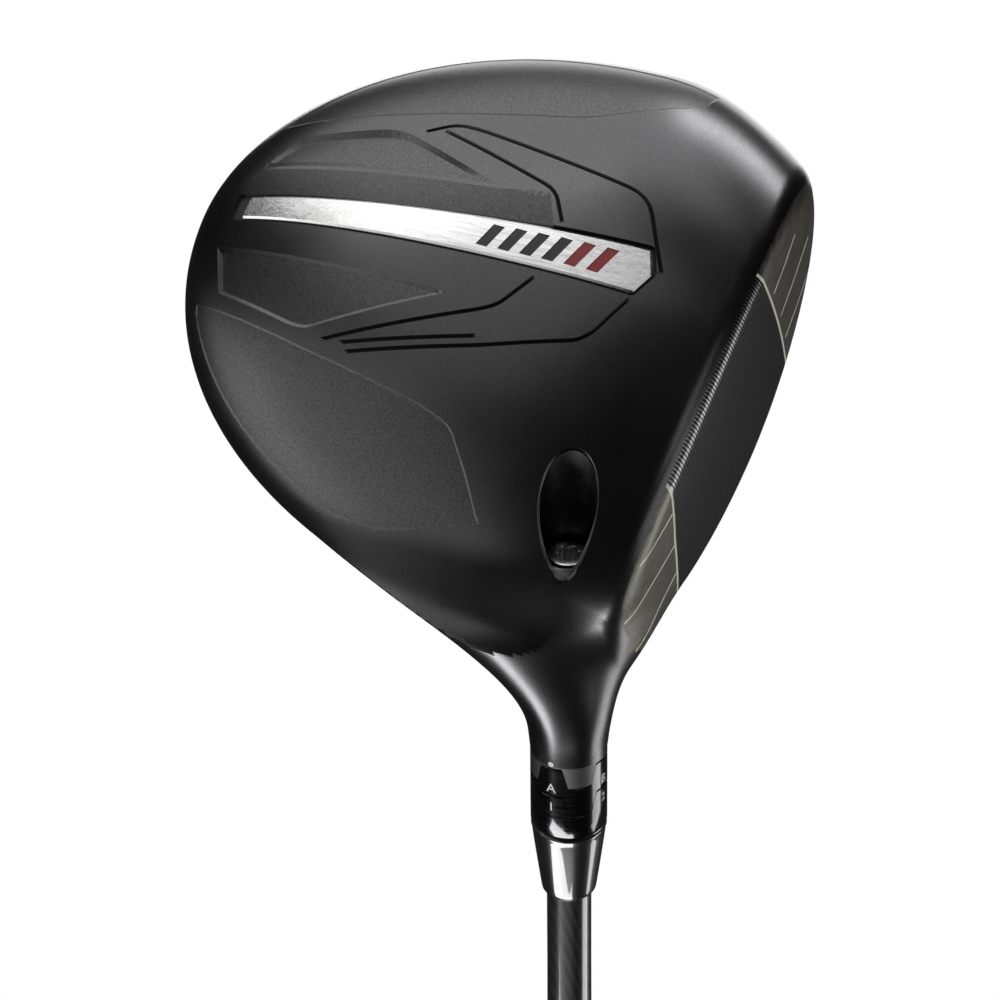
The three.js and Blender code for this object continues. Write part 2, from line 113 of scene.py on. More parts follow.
def domes(p):
    """Crown and sole: negative inside, about a distance near the surface."""
    dx = p[:, 0] - BELT_X
    dy = p[:, 1] - BELT_Y
    heel = soft_step(dx, QUARTER_BLEND)
    back = soft_step(dy, QUARTER_BLEND)
    power = 1.98 - 0.4 * (1 - heel) * (1 - back) - 0.05 * (1 - heel) * back + 0.05 * heel * back
    across = np.abs(dx / mix(REACH_TOE, REACH_HEEL, heel))
    along = np.abs(dy / mix(REACH_FRONT, REACH_BACK, back))
    radial = (across ** power + along ** power) ** (1 / power)
    dz = p[:, 2] - (BELT_Z + BELT_RISE_HEEL * dx + BELT_RISE_BACK * dy)
    up = soft_step(dz, BELT_BLEND)
    shape = mix(SOLE_POWER, CROWN_POWER, up)
    tall = np.abs(dz / mix(SOLE_HEIGHT, CROWN_HEIGHT, up)) ** 2
    gauge = (radial ** shape + tall) ** (1 / np.minimum(shape, 2))
    return 0.75 * np.sqrt(dx * dx + dy * dy + dz * dz) * (1 - 1 / np.maximum(gauge, 1e-3))


def face_distance(p):
    """Positive in front of the struck face, which is curved both ways."""
    surface = FACE_Y + p[:, 0] ** 2 / (2 * FACE_CURVE) + (p[:, 2] - FACE_FOOT) * math.tan(LOFT)
    surface = surface + (p[:, 2] - FACE_MIDDLE) ** 2 / (2 * FACE_CURVE)
    return (surface - p[:, 1]) * math.cos(LOFT)


def hosel_distance(p):
    """The hosel's tube, which swells and sweeps back towards the body below FLARE_TOP."""
    along = (p[:, 0] - AXIS_X) * math.cos(LIE) + p[:, 2] * math.sin(LIE)
    drop = np.maximum(FLARE_TOP - along, 0) ** 2 / FLARE_REACH
    toeward = -(p[:, 0] - AXIS_X) * math.sin(LIE) + p[:, 2] * math.cos(LIE) - FLARE_LEAN * drop
    backward = p[:, 1] - AXIS_Y - FLARE_SWEEP * drop
    tube = 0.85 * (np.hypot(toeward, backward) - HOSEL_RADIUS - FLARE_SWELL * drop)
    return np.maximum(tube, INSIDE_TOP - along)


def head_distance(p):
    body = smooth_max(domes(p), face_distance(p), FACE_EDGE)
    return smooth_min(body, hosel_distance(p), FLARE_BLEND)


def gradient(field, p, e=0.02):
    steps = e * np.eye(3)
    return np.stack([(field(p + s) - field(p - s)) / (2 * e) for s in steps], axis=1)


def unit(v):
    return v / np.linalg.norm(v, axis=-1, keepdims=True)


def outward(p):
    """Unit normals of the head's surface."""
    return unit(gradient(head_distance, p))


def cast(origin, direction):
    """Where rays from inside the head leave it."""
    origin = np.broadcast_to(origin, direction.shape)
    low = np.zeros(len(direction))
    high = np.zeros(len(direction))
    going = np.arange(len(direction))
    while len(going):
        high[going] += 1.5
        reached = origin[going] + high[going, None] * direction[going]
        outside = head_distance(reached) >= 0
        low[going[~outside]] = high[going[~outside]]
        going = going[~outside]
    for _ in range(18):
        middle = (low + high) / 2
        outside = head_distance(origin + middle[:, None] * direction) >= 0
        high = np.where(outside, middle, high)
        low = np.where(outside, low, middle)
    return origin + ((low + high) / 2)[:, None] * direction


# ------------------------------------------------------------------ outlines

def resample(points, spacing, closed=True):
    """The same outline with points no further apart than spacing."""
    points = [np.array(p, float) for p in points]
    ends = points[1:] + points[:1] if closed else points[1:]
    out = []
    for a, b in zip(points, ends):
        parts = max(1, math.ceil(np.linalg.norm(b - a) / spacing))
        out += [mix(a, b, i / parts) for i in range(parts)]
    if not closed:
        out.append(points[-1])
    return np.array(out)


def rounded(points, radius, closed=True):
    """The outline with its corners rounded; radius is one number, or one for each corner."""
    points = [np.array(p, float) for p in points]
    count = len(points)
    radii = radius if hasattr(radius, "__len__") else [radius] * count
    out = []
    for i, p in enumerate(points):
        if radii[i] == 0 or (not closed and i in (0, count - 1)):
            out.append(p)
            continue
        before = points[i - 1] - p
        after = points[(i + 1) % count] - p
        reach = min(radii[i], np.linalg.norm(before) / 2.1, np.linalg.norm(after) / 2.1)
        a = p + unit(before) * reach
        b = p + unit(after) * reach
        out += [mix(mix(a, p, t), mix(p, b, t), t) for t in (0, 0.25, 0.5, 0.75, 1)]
    return np.array(out)


def grown(points, margin):
    """A closed outline grown outwards by a margin, with mitred corners."""
    points = np.array(points, float)
    ahead = np.roll(points, -1, axis=0) - points
    area = np.sum(points[:, 0] * np.roll(points[:, 1], -1) - np.roll(points[:, 0], -1) * points[:, 1])
    normal = unit(np.stack([ahead[:, 1], -ahead[:, 0]], axis=1)) * np.sign(area)
    before = np.roll(normal, 1, axis=0)
    spread = 1 + np.sum(normal * before, axis=1, keepdims=True)
    return points + margin * (normal + before) / np.maximum(spread, 0.01)


def ribbon(line, width):
    """The closed outline of a line drawn with a width."""
    line = np.array(line, float)
    ahead = unit(np.gradient(line, axis=0))
    side = np.stack([ahead[:, 1], -ahead[:, 0]], axis=1) * width / 2
    return np.concatenate([line + side, (line - side)[::-1]])


def inside_by(points, outline):
    """How far points lie inside a closed outline; negative outside."""
    a = np.array(outline)
    edge = np.roll(a, -1, axis=0) - a
    out = np.zeros(len(points))
    for start in range(0, len(points), 4000):
        part = points[start:start + 4000]
        rel = part[:, None] - a[None]
        share = np.clip(np.sum(rel * edge, axis=2) / np.maximum(np.sum(edge * edge, axis=1), 1e-12), 0, 1)
        gap = rel - share[..., None] * edge
        distance = np.sqrt(np.min(np.sum(gap * gap, axis=2), axis=1))
        over = (a[None, :, 1] > part[:, None, 1]) != ((a + edge)[None, :, 1] > part[:, None, 1])
        slope = edge[:, 0] / np.where(edge[:, 1] == 0, 1e-12, edge[:, 1])
        crossing = part[:, None, 0] < a[None, :, 0] + (part[:, None, 1] - a[None, :, 1]) * slope
        within = np.sum(over & crossing, axis=1) % 2 == 1
        out[start:start + 4000] = np.where(within, distance, -distance)
    return out


# ------------------------------------------------------------------ relief of the sole and face

BAR = [(-2.0, 69.0), (2.6, 69.3), (-0.7, -13.3), (-5.5, -15.4), (-10.0, -13.3)]
BAR_RECESS = rounded([(-2.3, 72.2), (2.6, 72.4), (3.2, 69.3), (-0.1, -13.7), (-5.4, -16.2), (-10.7, -13.6),
                      (-5.2, 37.4), (-2.6, 69.0)], [0.6, 0.6, 0, 0.8, 0.8, 0.8, 0, 0])
TOE_PANEL = rounded([(-13.6, 19.5), (-20.9, 43.6), (-16.2, 63.2), (-8.4, 69.5)], [0, 4, 0, 0])
TOE_SLOPE = [(-12.8, 19.0), (-7.8, 69.6), (-1.0, 71.0), (-1.2, 69.0), (-3.8, 37.4), (-7.5, 5.0),
             (-15.0, 8.9)]
HEEL_PANEL = rounded([(9.1, 19.5), (21.6, 45.4), (21.4, 49.0), (17.4, 67.7), (8.6, 72.0)],
                     [0, 2.5, 2.5, 0, 0])
TOE_GROOVES = [
    rounded([(-21.2, 38.4), (-24.2, 33.0), (-24.1, 28.1), (-21.9, 8.8), (-20.0, -8.4), (-6.0, -16.8)],
            [0, 3, 4, 2, 4, 0], closed=False),
    rounded([(-22.3, 34.6), (-20.2, 26.1), (-15.6, 8.2), (-9.6, 4.2)], [0, 2, 2.5, 0], closed=False),
]
HEEL_GROOVES = [
    rounded([(22.9, 41.4), (10.5, 12.4), (8.8, 9.4), (2.0, 4.8)], [0, 2, 2, 0], closed=False),
    rounded([(24.1, 35.8), (16.8, 9.9), (10.9, -7.1), (8.8, -9.2), (0.4, -13.3)],
            [0, 3, 2, 2, 0], closed=False),
    rounded([(22.7, 37.4), (15.4, 11.4)], 0, closed=False),
]
GROOVE_WIDTH, GROOVE_DEPTH = 0.8, 0.45


def belt_arc(start, end, share, count=14):
    """Part of the belt's outline in plan, drawn in to a share of its reach; angles in degrees."""
    turn = np.radians(np.linspace(start, end, count))
    c, s = np.cos(turn), np.sin(turn)
    across = np.where(c > 0, REACH_HEEL, REACH_TOE) * c
    along = np.where(s > 0, REACH_BACK, REACH_FRONT) * s
    return [(BELT_X + share * x, BELT_Y + share * y) for x, y in zip(across, along)]


TOE_PATCH = [*rounded([(-18.4, 71.0), (-22.5, 52), (-27.6, 29.8), (-32.4, 9.9), (-39.6, -1.7),
                       (-43.6, -7.6)], [0, 0, 4, 4, 4, 0], closed=False), *belt_arc(190, 118, 0.93)]
HEEL_PATCH = [*rounded([(19.1, 73.1), (21.0, 63.4), (24.8, 44.6), (29.6, 16.5), (31.6, 10.6), (38.6, 5.2),
                        (44.2, 1.7), (45.5, 0.6), (47.2, 6.0), (49.7, 16.1), (50.5, 22)],
                       [0, 0, 2, 3, 2, 2, 0, 0.5, 0, 3, 0], closed=False), *belt_arc(22, 67, 0.95)]
PORT_RADIUS, PORT_RIM = 5.2, 0.3


def beyond(points, start, end):
    """Distance of points to the left of the line from start to end."""
    start = np.array(start, float)
    along = unit(np.array(end, float) - start)
    offset = points - start
    return along[0] * offset[:, 1] - along[1] * offset[:, 0]


class Relief:
    """A sunk area: its outline in one plane, the width of its wall and how deep its floor is."""

    def __init__(self, name, outline, wall, depth, line=None, plane=(0, 1)):
        self.name = name
        self.outline = outline
        self.wall = wall
        self.depth = depth
        self.line = line
        self.plane = plane

    def sunk(self, flat):
        inside = inside_by(flat, self.outline)
        floor = self.depth(flat) if callable(self.depth) else self.depth
        return floor * np.clip(inside / self.wall, 0, 1), inside


def toe_panel_depth(flat):
    return 0.1 + 0.11 * np.maximum(beyond(flat, (-13.6, 19.5), (-8.4, 69.5)), 0)


def toe_slope_depth(flat):
    return 0.1 * np.maximum(-beyond(flat, (-13.0, 19.5), (-7.8, 69.5)), 0)


def heel_panel_depth(flat):
    return 0.25 + 0.03 * np.maximum(beyond(flat, (9.1, 19.5), (21.6, 45.4)), 0)


SOLE_RELIEF = [
    Relief("toe_patch", TOE_PATCH, 0.35, 0.12),
    Relief("heel_patch", HEEL_PATCH, 0.35, 0.12),
    Relief("toe_slope", TOE_SLOPE, 0.02, toe_slope_depth),
    Relief("toe_panel", TOE_PANEL, 1.0, toe_panel_depth),
    Relief("heel_panel", HEEL_PANEL, 0.6, heel_panel_depth),
    *[Relief("groove", ribbon(line, GROOVE_WIDTH), GROOVE_WIDTH / 2, GROOVE_DEPTH, line)
      for line in TOE_GROOVES + HEEL_GROOVES],
    Relief("bar_recess", BAR_RECESS, 0.25, 0.85),
]

# the face's centre and its painted score lines, in x and z
CENTRE_TOE = [(-12.6, 0), (-15.9, 45), (-18, 70)]
CENTRE_HEEL = [(28.0, 0), (28.5, 12.9), (31.6, 31), (33.9, 56.7), (35, 70)]
SCORE_FOOT, SCORE_PITCH, SCORE_WIDTH, SCORE_WALL, SCORE_DEPTH = 21.4, 11.2, 0.6, 0.12, 0.06
SCORE_ENDS = [(-28.0, 41.7), (-33.0, 49.3), (-35.0, 50.0), (-30.5, 43.0)]


def score_lines():
    """Thin painted grooves across the toe and the heel of the face, up to its centre."""
    lines = []
    for row, (toe_end, heel_end) in enumerate(SCORE_ENDS):
        rise = SCORE_PITCH * row
        z = SCORE_FOOT + rise
        lines.append([(30.4 + 0.12 * rise, z), (heel_end, z)])
        lines.append([(toe_end, z - 1), (-15.6 - 0.07 * rise, z - 1)])
    return [np.array(line) for line in lines]


FACE_RELIEF = [Relief("score", ribbon(line, SCORE_WIDTH), SCORE_WALL, SCORE_DEPTH, plane=(0, 2))
               for line in score_lines()]


def port_inside(p):
    """How far points lie inside the wrench port's cylinder."""
    offset = p - (AXIS_FOOT - HEAD_ORIGIN)
    across = offset - (offset @ AXIS)[:, None] * AXIS
    return PORT_RADIUS - np.linalg.norm(across, axis=1)


def relief_at(p, normal):
    """Depth of the surface below the plain head, and the name of the deepest feature there."""
    depth = np.zeros(len(p))
    name = np.full(len(p), "skin", dtype=object)
    under = normal[:, 2] < -0.2
    for feature in SOLE_RELIEF + FACE_RELIEF:
        facing = under & (normal[:, 1] > -0.6) if feature.plane == (0, 1) else normal[:, 1] < -0.6
        chosen = np.flatnonzero(facing)
        sunk, inside = feature.sunk(p[chosen][:, feature.plane])
        if feature.name == "bar_recess":
            depth[chosen] = np.where(inside > 0, np.maximum(depth[chosen], sunk), depth[chosen])
        else:
            depth[chosen] += sunk
        within = chosen[inside > (0 if feature.wall > 0.1 else 0.05)]
        name[within] = feature.name
        floor = chosen[inside > feature.wall * 0.98]
        if feature.name in ("toe_panel", "heel_panel", "bar_recess"):
            name[floor] = feature.name + "_floor"
    rim = np.clip((port_inside(p) + PORT_RIM) / PORT_RIM, 0, 1)
    depth += np.where(under, PORT_RIM * rim, 0)
    return depth, name


# ------------------------------------------------------------------ a fine mesh of the head

# the head is unrolled onto a flat sheet between two sections, and closed with rings beyond them
GRID, OUTLINE_SPACING = 1.15, 0.9
MARCH_LOW, MARCH_HIGH = -50.0, 52.0
SEAM = math.radians(-175)
TOE_RINGS, FAN_STEPS, STRAIGHT_STEPS = 9, 44, 8
FAN_PIVOT = np.array([52.0, 0.0, 60.0])

# the hosel, the ring and the sleeve meet on lines with four tabs, at heights along the shaft axis
HOSEL_EDGE, RING_EDGE = 68.8, 75.3
TAB_HEIGHT, TAB_HALF, TAB_SLANT = 4.45, math.radians(23), math.radians(9)
TAB_GAP, RIM_CHAMFER = 0.07, 0.16
BORE_RADIUS = 5.95


def on_axis(turn, radius, along):
    """Points round the shaft axis, in the row frame."""
    turn, radius, along = np.broadcast_arrays(turn, radius, along)
    spoke = np.cos(turn)[..., None] * HEELWARD + np.sin(turn)[..., None] * BACKWARD
    return AXIS_FOOT + along[..., None] * AXIS + radius[..., None] * spoke


def tab(turn):
    """1 on the four tabs, 0 between them, and a slope at their sides."""
    quarter = math.pi / 2
    off = np.abs((turn + 8 * quarter) % quarter - quarter / 2)
    return np.clip((TAB_HALF + TAB_SLANT / 2 - off) / TAB_SLANT, 0, 1)


def hosel_line(turn):
    return HOSEL_EDGE + TAB_HEIGHT * tab(turn)


def ring_line(turn):
    return RING_EDGE + TAB_HEIGHT * tab(turn)


def section_centre(x):
    """The middle of the head's section at x, as a point on the belt."""
    reach = np.where(x < BELT_X, REACH_TOE, REACH_HEEL)
    share = np.sqrt(1 - np.minimum(np.abs((x - BELT_X) / reach), 0.999) ** 2)
    front = np.maximum(FACE_Y + 4, BELT_Y - REACH_FRONT * share)
    y = (BELT_Y + REACH_BACK * share + front) / 2
    return np.stack([x, y, BELT_Z + BELT_RISE_HEEL * (x - BELT_X) + 1], axis=1)


def from_angle(x, angle):
    direction = np.stack([np.zeros_like(angle), -np.cos(angle), np.sin(angle)], axis=1)
    return cast(section_centre(x), direction)


angle_table = np.linspace(SEAM, SEAM + 2 * math.pi, 1441)
middle_section = from_angle(np.zeros_like(angle_table), angle_table)
steps_round = np.linalg.norm(np.diff(middle_section, axis=0), axis=1)
round_table = np.concatenate([[0], np.cumsum(steps_round)])
GIRTH = round_table[-1]


def to_sheet(p):
    """Place of a point of the head on a flat sheet: its x, and how far round the section it is."""
    centre = section_centre(p[:, 0])
    angle = np.arctan2(p[:, 2] - centre[:, 2], -(p[:, 1] - centre[:, 1]))
    angle = np.where(angle < SEAM, angle + 2 * math.pi, angle)
    return np.stack([p[:, 0], np.interp(angle, angle_table, round_table)], axis=1)


def from_sheet(flat):
    return from_angle(flat[:, 0], np.interp(flat[:, 1], round_table, angle_table))


def onto_head(flat, plane):
    """Points of a plan outline put onto the sole, or of a front outline put onto the face."""
    if plane == (0, 1):
        start = np.column_stack([flat, section_centre(flat[:, 0])[:, 2]])
        direction = np.broadcast_to([0.0, 0.0, -1.0], start.shape)
    else:
        start = np.column_stack([flat[:, 0], np.full(len(flat), 2.0), flat[:, 1]])
        direction = np.broadcast_to([0.0, -1.0, 0.0], start.shape)
    return cast(start, direction)


def port_loop(radius, count=72):
    turn = np.linspace(0, 2 * math.pi, count, endpoint=False)
    ring = radius * (np.outer(np.cos(turn), HEELWARD) + np.outer(np.sin(turn), BACKWARD))
    start = AXIS_FOOT - HEAD_ORIGIN + 24 * AXIS + ring
    return cast(start, np.broadcast_to(-AXIS, start.shape))


CROWN_CENTRE = (-1.0, 24.0)
CROWN_REACH = {"toe": 46, "heel": 40, "back": 53, "front": 38}


def crown_edge(count=144):
    """The crown shell's edge in plan, as in the CAD: four quarter-superellipses."""
    turn = np.linspace(0, 2 * math.pi, count, endpoint=False)
    c, s = np.cos(turn), np.sin(turn)
    across = np.where(c > 0, CROWN_REACH["heel"], CROWN_REACH["toe"])
    along = np.where(s > 0, CROWN_REACH["back"], CROWN_REACH["front"])
    return np.column_stack([CROWN_CENTRE[0] + across * np.sign(c) * np.abs(c) ** 0.87,
                            CROWN_CENTRE[1] + along * np.sign(s) * np.abs(s) ** 0.87])


def crown_loop():
    edge = crown_edge()
    start = np.column_stack([edge, section_centre(edge[:, 0])[:, 2]])
    return cast(start, np.broadcast_to([0.0, 0.0, 1.0], start.shape))


def head_sheet():
    """Points and edges on the flat sheet: a plain grid, and every outline of the relief."""
    points, edges = [], []

    def draw(loop, closed=True):
        first = sum(len(p) for p in points)
        count = len(loop)
        points.append(to_sheet(loop))
        edges.extend((first + i, first + (i + 1) % count) for i in range(count if closed else count - 1))

    for feature in SOLE_RELIEF + FACE_RELIEF:
        draw(onto_head(resample(feature.outline, OUTLINE_SPACING), feature.plane))
        if feature.line is not None:
            shorter = resample(feature.line, OUTLINE_SPACING, closed=False)[1:-1]
            draw(onto_head(shorter, feature.plane), closed=False)
        elif feature.wall > 0.1:
            floor = grown(feature.outline, -feature.wall)
            draw(onto_head(resample(floor, OUTLINE_SPACING), feature.plane))
    draw(port_loop(PORT_RADIUS + PORT_RIM))
    draw(port_loop(PORT_RADIUS))
    draw(crown_loop())
    drawn = np.concatenate(points)

    columns = round((MARCH_HIGH - MARCH_LOW) / GRID)
    rows = round(GIRTH / GRID)
    xs = np.linspace(MARCH_LOW, MARCH_HIGH, columns + 1)
    rounds = np.linspace(0, GIRTH, rows + 1)
    grid = np.stack(np.meshgrid(xs, rounds, indexing="ij"), axis=2).reshape(-1, 2)
    tree = kdtree.KDTree(len(drawn))
    for i, (x, y) in enumerate(drawn):
        tree.insert((x, y, 0), i)
    tree.balance()
    border = (grid[:, 0] < MARCH_LOW + 0.01) | (grid[:, 0] > MARCH_HIGH - 0.01)
    border |= (grid[:, 1] < 0.01) | (grid[:, 1] > GIRTH - 0.01)
    clear = np.array([tree.find((x, y, 0))[2] > 0.42 * GRID for x, y in grid])
    flat = np.concatenate([drawn, grid[border | clear]])
    corners, _, triangles, _, _, _ = delaunay_2d_cdt([Vector(p) for p in flat], edges, [], 0, 1e-5, False)
    return np.array([tuple(c) for c in corners]), np.array(triangles), rounds


def strip(lower, upper):
    """Triangles between two rings of vertex numbers, both closed and equally long."""
    a, b = np.array(lower), np.array(upper)
    a2, b2 = np.roll(a, -1), np.roll(b, -1)
    return np.concatenate([np.stack([a, b2, a2], 1), np.stack([a, b, b2], 1)])


def head_surface():
    """Points and triangles of the whole head, before its relief."""
    flat, triangles, rounds = head_sheet()
    flat[:, 1] = np.clip(flat[:, 1], 0, GIRTH)
    points = from_sheet(flat)
    # the sheet's two long edges are one line on the head
    low_edge = np.flatnonzero(flat[:, 1] < 1e-3)
    high_edge = np.flatnonzero(flat[:, 1] > GIRTH - 1e-3)
    low_edge = low_edge[np.argsort(flat[low_edge, 0])]
    high_edge = high_edge[np.argsort(flat[high_edge, 0])]
    same = np.arange(len(flat))
    same[high_edge] = low_edge
    triangles = same[triangles]
    angles = np.interp(rounds[:-1], round_table, angle_table)
    count = len(angles)

    def ring_at(x):
        found = np.flatnonzero((np.abs(flat[:, 0] - x) < 1e-3) & (flat[:, 1] < GIRTH - 1e-3))
        return found[np.argsort(flat[found, 1])]

    parts, faces, total = [points], [triangles], len(points)
    # the toe: rings that close on a pole
    ring = ring_at(MARCH_LOW)
    tip = BELT_X - REACH_TOE
    for share in np.linspace(0, 1, TOE_RINGS)[1:-1]:
        x = tip + (MARCH_LOW - tip) * (1 - math.sin(share * math.pi / 2))
        parts.append(from_angle(np.full(count, x), angles))
        fresh = np.arange(total, total + count)
        faces.append(strip(fresh, ring))
        ring, total = fresh, total + count
    parts.append(cast(section_centre(np.array([tip + 0.3])), np.array([[-1.0, 0.0, 0.0]])))
    faces.append(np.stack([np.full(count, total), ring, np.roll(ring, -1)], 1))
    total += 1
    # the heel: rings that fan about a line above the crown until they stand square to the hosel
    ring = ring_at(MARCH_HIGH)
    axis_base = AXIS_FOOT - HEAD_ORIGIN
    pivot_along = (FAN_PIVOT - axis_base) @ AXIS
    straight_top = HOSEL_EDGE - 2
    reach_end = np.linalg.norm((axis_base + pivot_along * AXIS - FAN_PIVOT)[[0, 2]])
    start = section_centre(np.array([MARCH_HIGH]))[0]
    for i in range(1, FAN_STEPS + STRAIGHT_STEPS + 1):
        turn = min(1, i / FAN_STEPS) ** 1.4
        tilt = LIE * turn
        reach = mix(FAN_PIVOT[2] - start[2], reach_end, turn)
        centre = FAN_PIVOT + reach * np.array([math.sin(tilt), 0, -math.cos(tilt)])
        centre[1] = mix(start[1], AXIS_Y, 1 - (1 - turn) ** 1.5)
        if i > FAN_STEPS:
            centre = axis_base + mix(pivot_along, straight_top, (i - FAN_STEPS) / STRAIGHT_STEPS) * AXIS
        up = np.array([-math.sin(tilt), 0, math.cos(tilt)])
        direction = np.outer(np.sin(angles), up)
        direction[:, 1] -= np.cos(angles)
        parts.append(cast(centre, direction))
        fresh = np.arange(total, total + count)
        faces.append(strip(ring, fresh))
        ring, total = fresh, total + count
    # the hosel's end: up to the tabs, round the rim and a little way down the bore
    turns = np.arctan2(-np.cos(angles), -np.sin(angles))
    rim = hosel_line(turns) - TAB_GAP
    outline = [(HOSEL_RADIUS, mix(straight_top, rim - RIM_CHAMFER, step / 5)) for step in range(1, 6)]
    outline += [(HOSEL_RADIUS - RIM_CHAMFER, rim), (BORE_RADIUS, rim), (BORE_RADIUS, rim - 1.5)]
    for radius, height in outline:
        parts.append(on_axis(turns, radius, height) - HEAD_ORIGIN)
        fresh = np.arange(total, total + count)
        faces.append(strip(ring, fresh))
        ring, total = fresh, total + count
    return np.concatenate(parts), np.concatenate(faces)


# ------------------------------------------------------------------ pieces

def make_piece(name, points, faces, normals=None, sharp=None):
    """A piece from points in the row frame in millimetres; unused points are dropped."""
    mesh = bpy.data.meshes.new(name)
    used, compact = np.unique(faces, return_inverse=True)
    mesh.from_pydata((points[used] * MM).tolist(), [], compact.reshape(np.shape(faces)).tolist())
    mesh.polygons.foreach_set("use_smooth", [True] * len(mesh.polygons))
    if normals is not None:
        mesh.normals_split_custom_set(normals.reshape(-1, 3).tolist())
    if sharp is not None:
        mesh.set_sharp_from_angle(angle=math.radians(sharp))
    mesh.update()
    piece = bpy.data.objects.new(name, mesh)
    bpy.context.scene.collection.objects.link(piece)
    return piece, used


def attribute(piece, name, values):
    layer = piece.data.attributes.new(name, "FLOAT", "POINT")
    layer.data.foreach_set("value", np.asarray(values, np.float32))


def settle(piece, body, slot, *nodes):
    """Say what a piece rides on, and hide the CAD nodes it stands for; the slot, what it is finished as, is
    not used.
    """
    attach(piece, body)
    if nodes:
        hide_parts(*nodes)
    return piece


def dress(piece, materials, names=None, groups=None):
    """Give a piece its materials; groups says which material number a face's name takes."""
    for material in materials:
        piece.data.materials.append(material)
    if names is not None:
        numbers = np.array([groups.get(name, 0) for name in names], np.int32)
        piece.data.polygons.foreach_set("material_index", numbers)


def turned(name, profile, sides, sharp):
    """A closed body turned about the shaft axis. The profile gives [radius, height] pairs for one turn,
    up the outside and down the inside; a radius of 0 is a point on the axis."""
    turns = np.linspace(0, 2 * math.pi, sides, endpoint=False)
    outline = np.array([profile(turn) for turn in turns], float)
    points = on_axis(turns[:, None], outline[..., 0], outline[..., 1])
    count = outline.shape[1]
    number = np.arange(sides * count).reshape(sides, count)
    on_the_axis = outline[:, :, 0].max(axis=0) == 0
    number[:, on_the_axis] = number[0, on_the_axis]
    ahead = np.roll(number, -1, axis=0)
    above = np.roll(number, -1, axis=1)
    both = np.roll(ahead, -1, axis=1)
    faces = np.concatenate([np.stack([number, ahead, both], 2).reshape(-1, 3),
                            np.stack([number, both, above], 2).reshape(-1, 3)])
    repeated = (faces[:, 0] == faces[:, 1]) | (faces[:, 1] == faces[:, 2]) | (faces[:, 0] == faces[:, 2])
    return make_piece(name, points.reshape(-1, 3), faces[~repeated], sharp=sharp)[0]


# ------------------------------------------------------------------ finishes

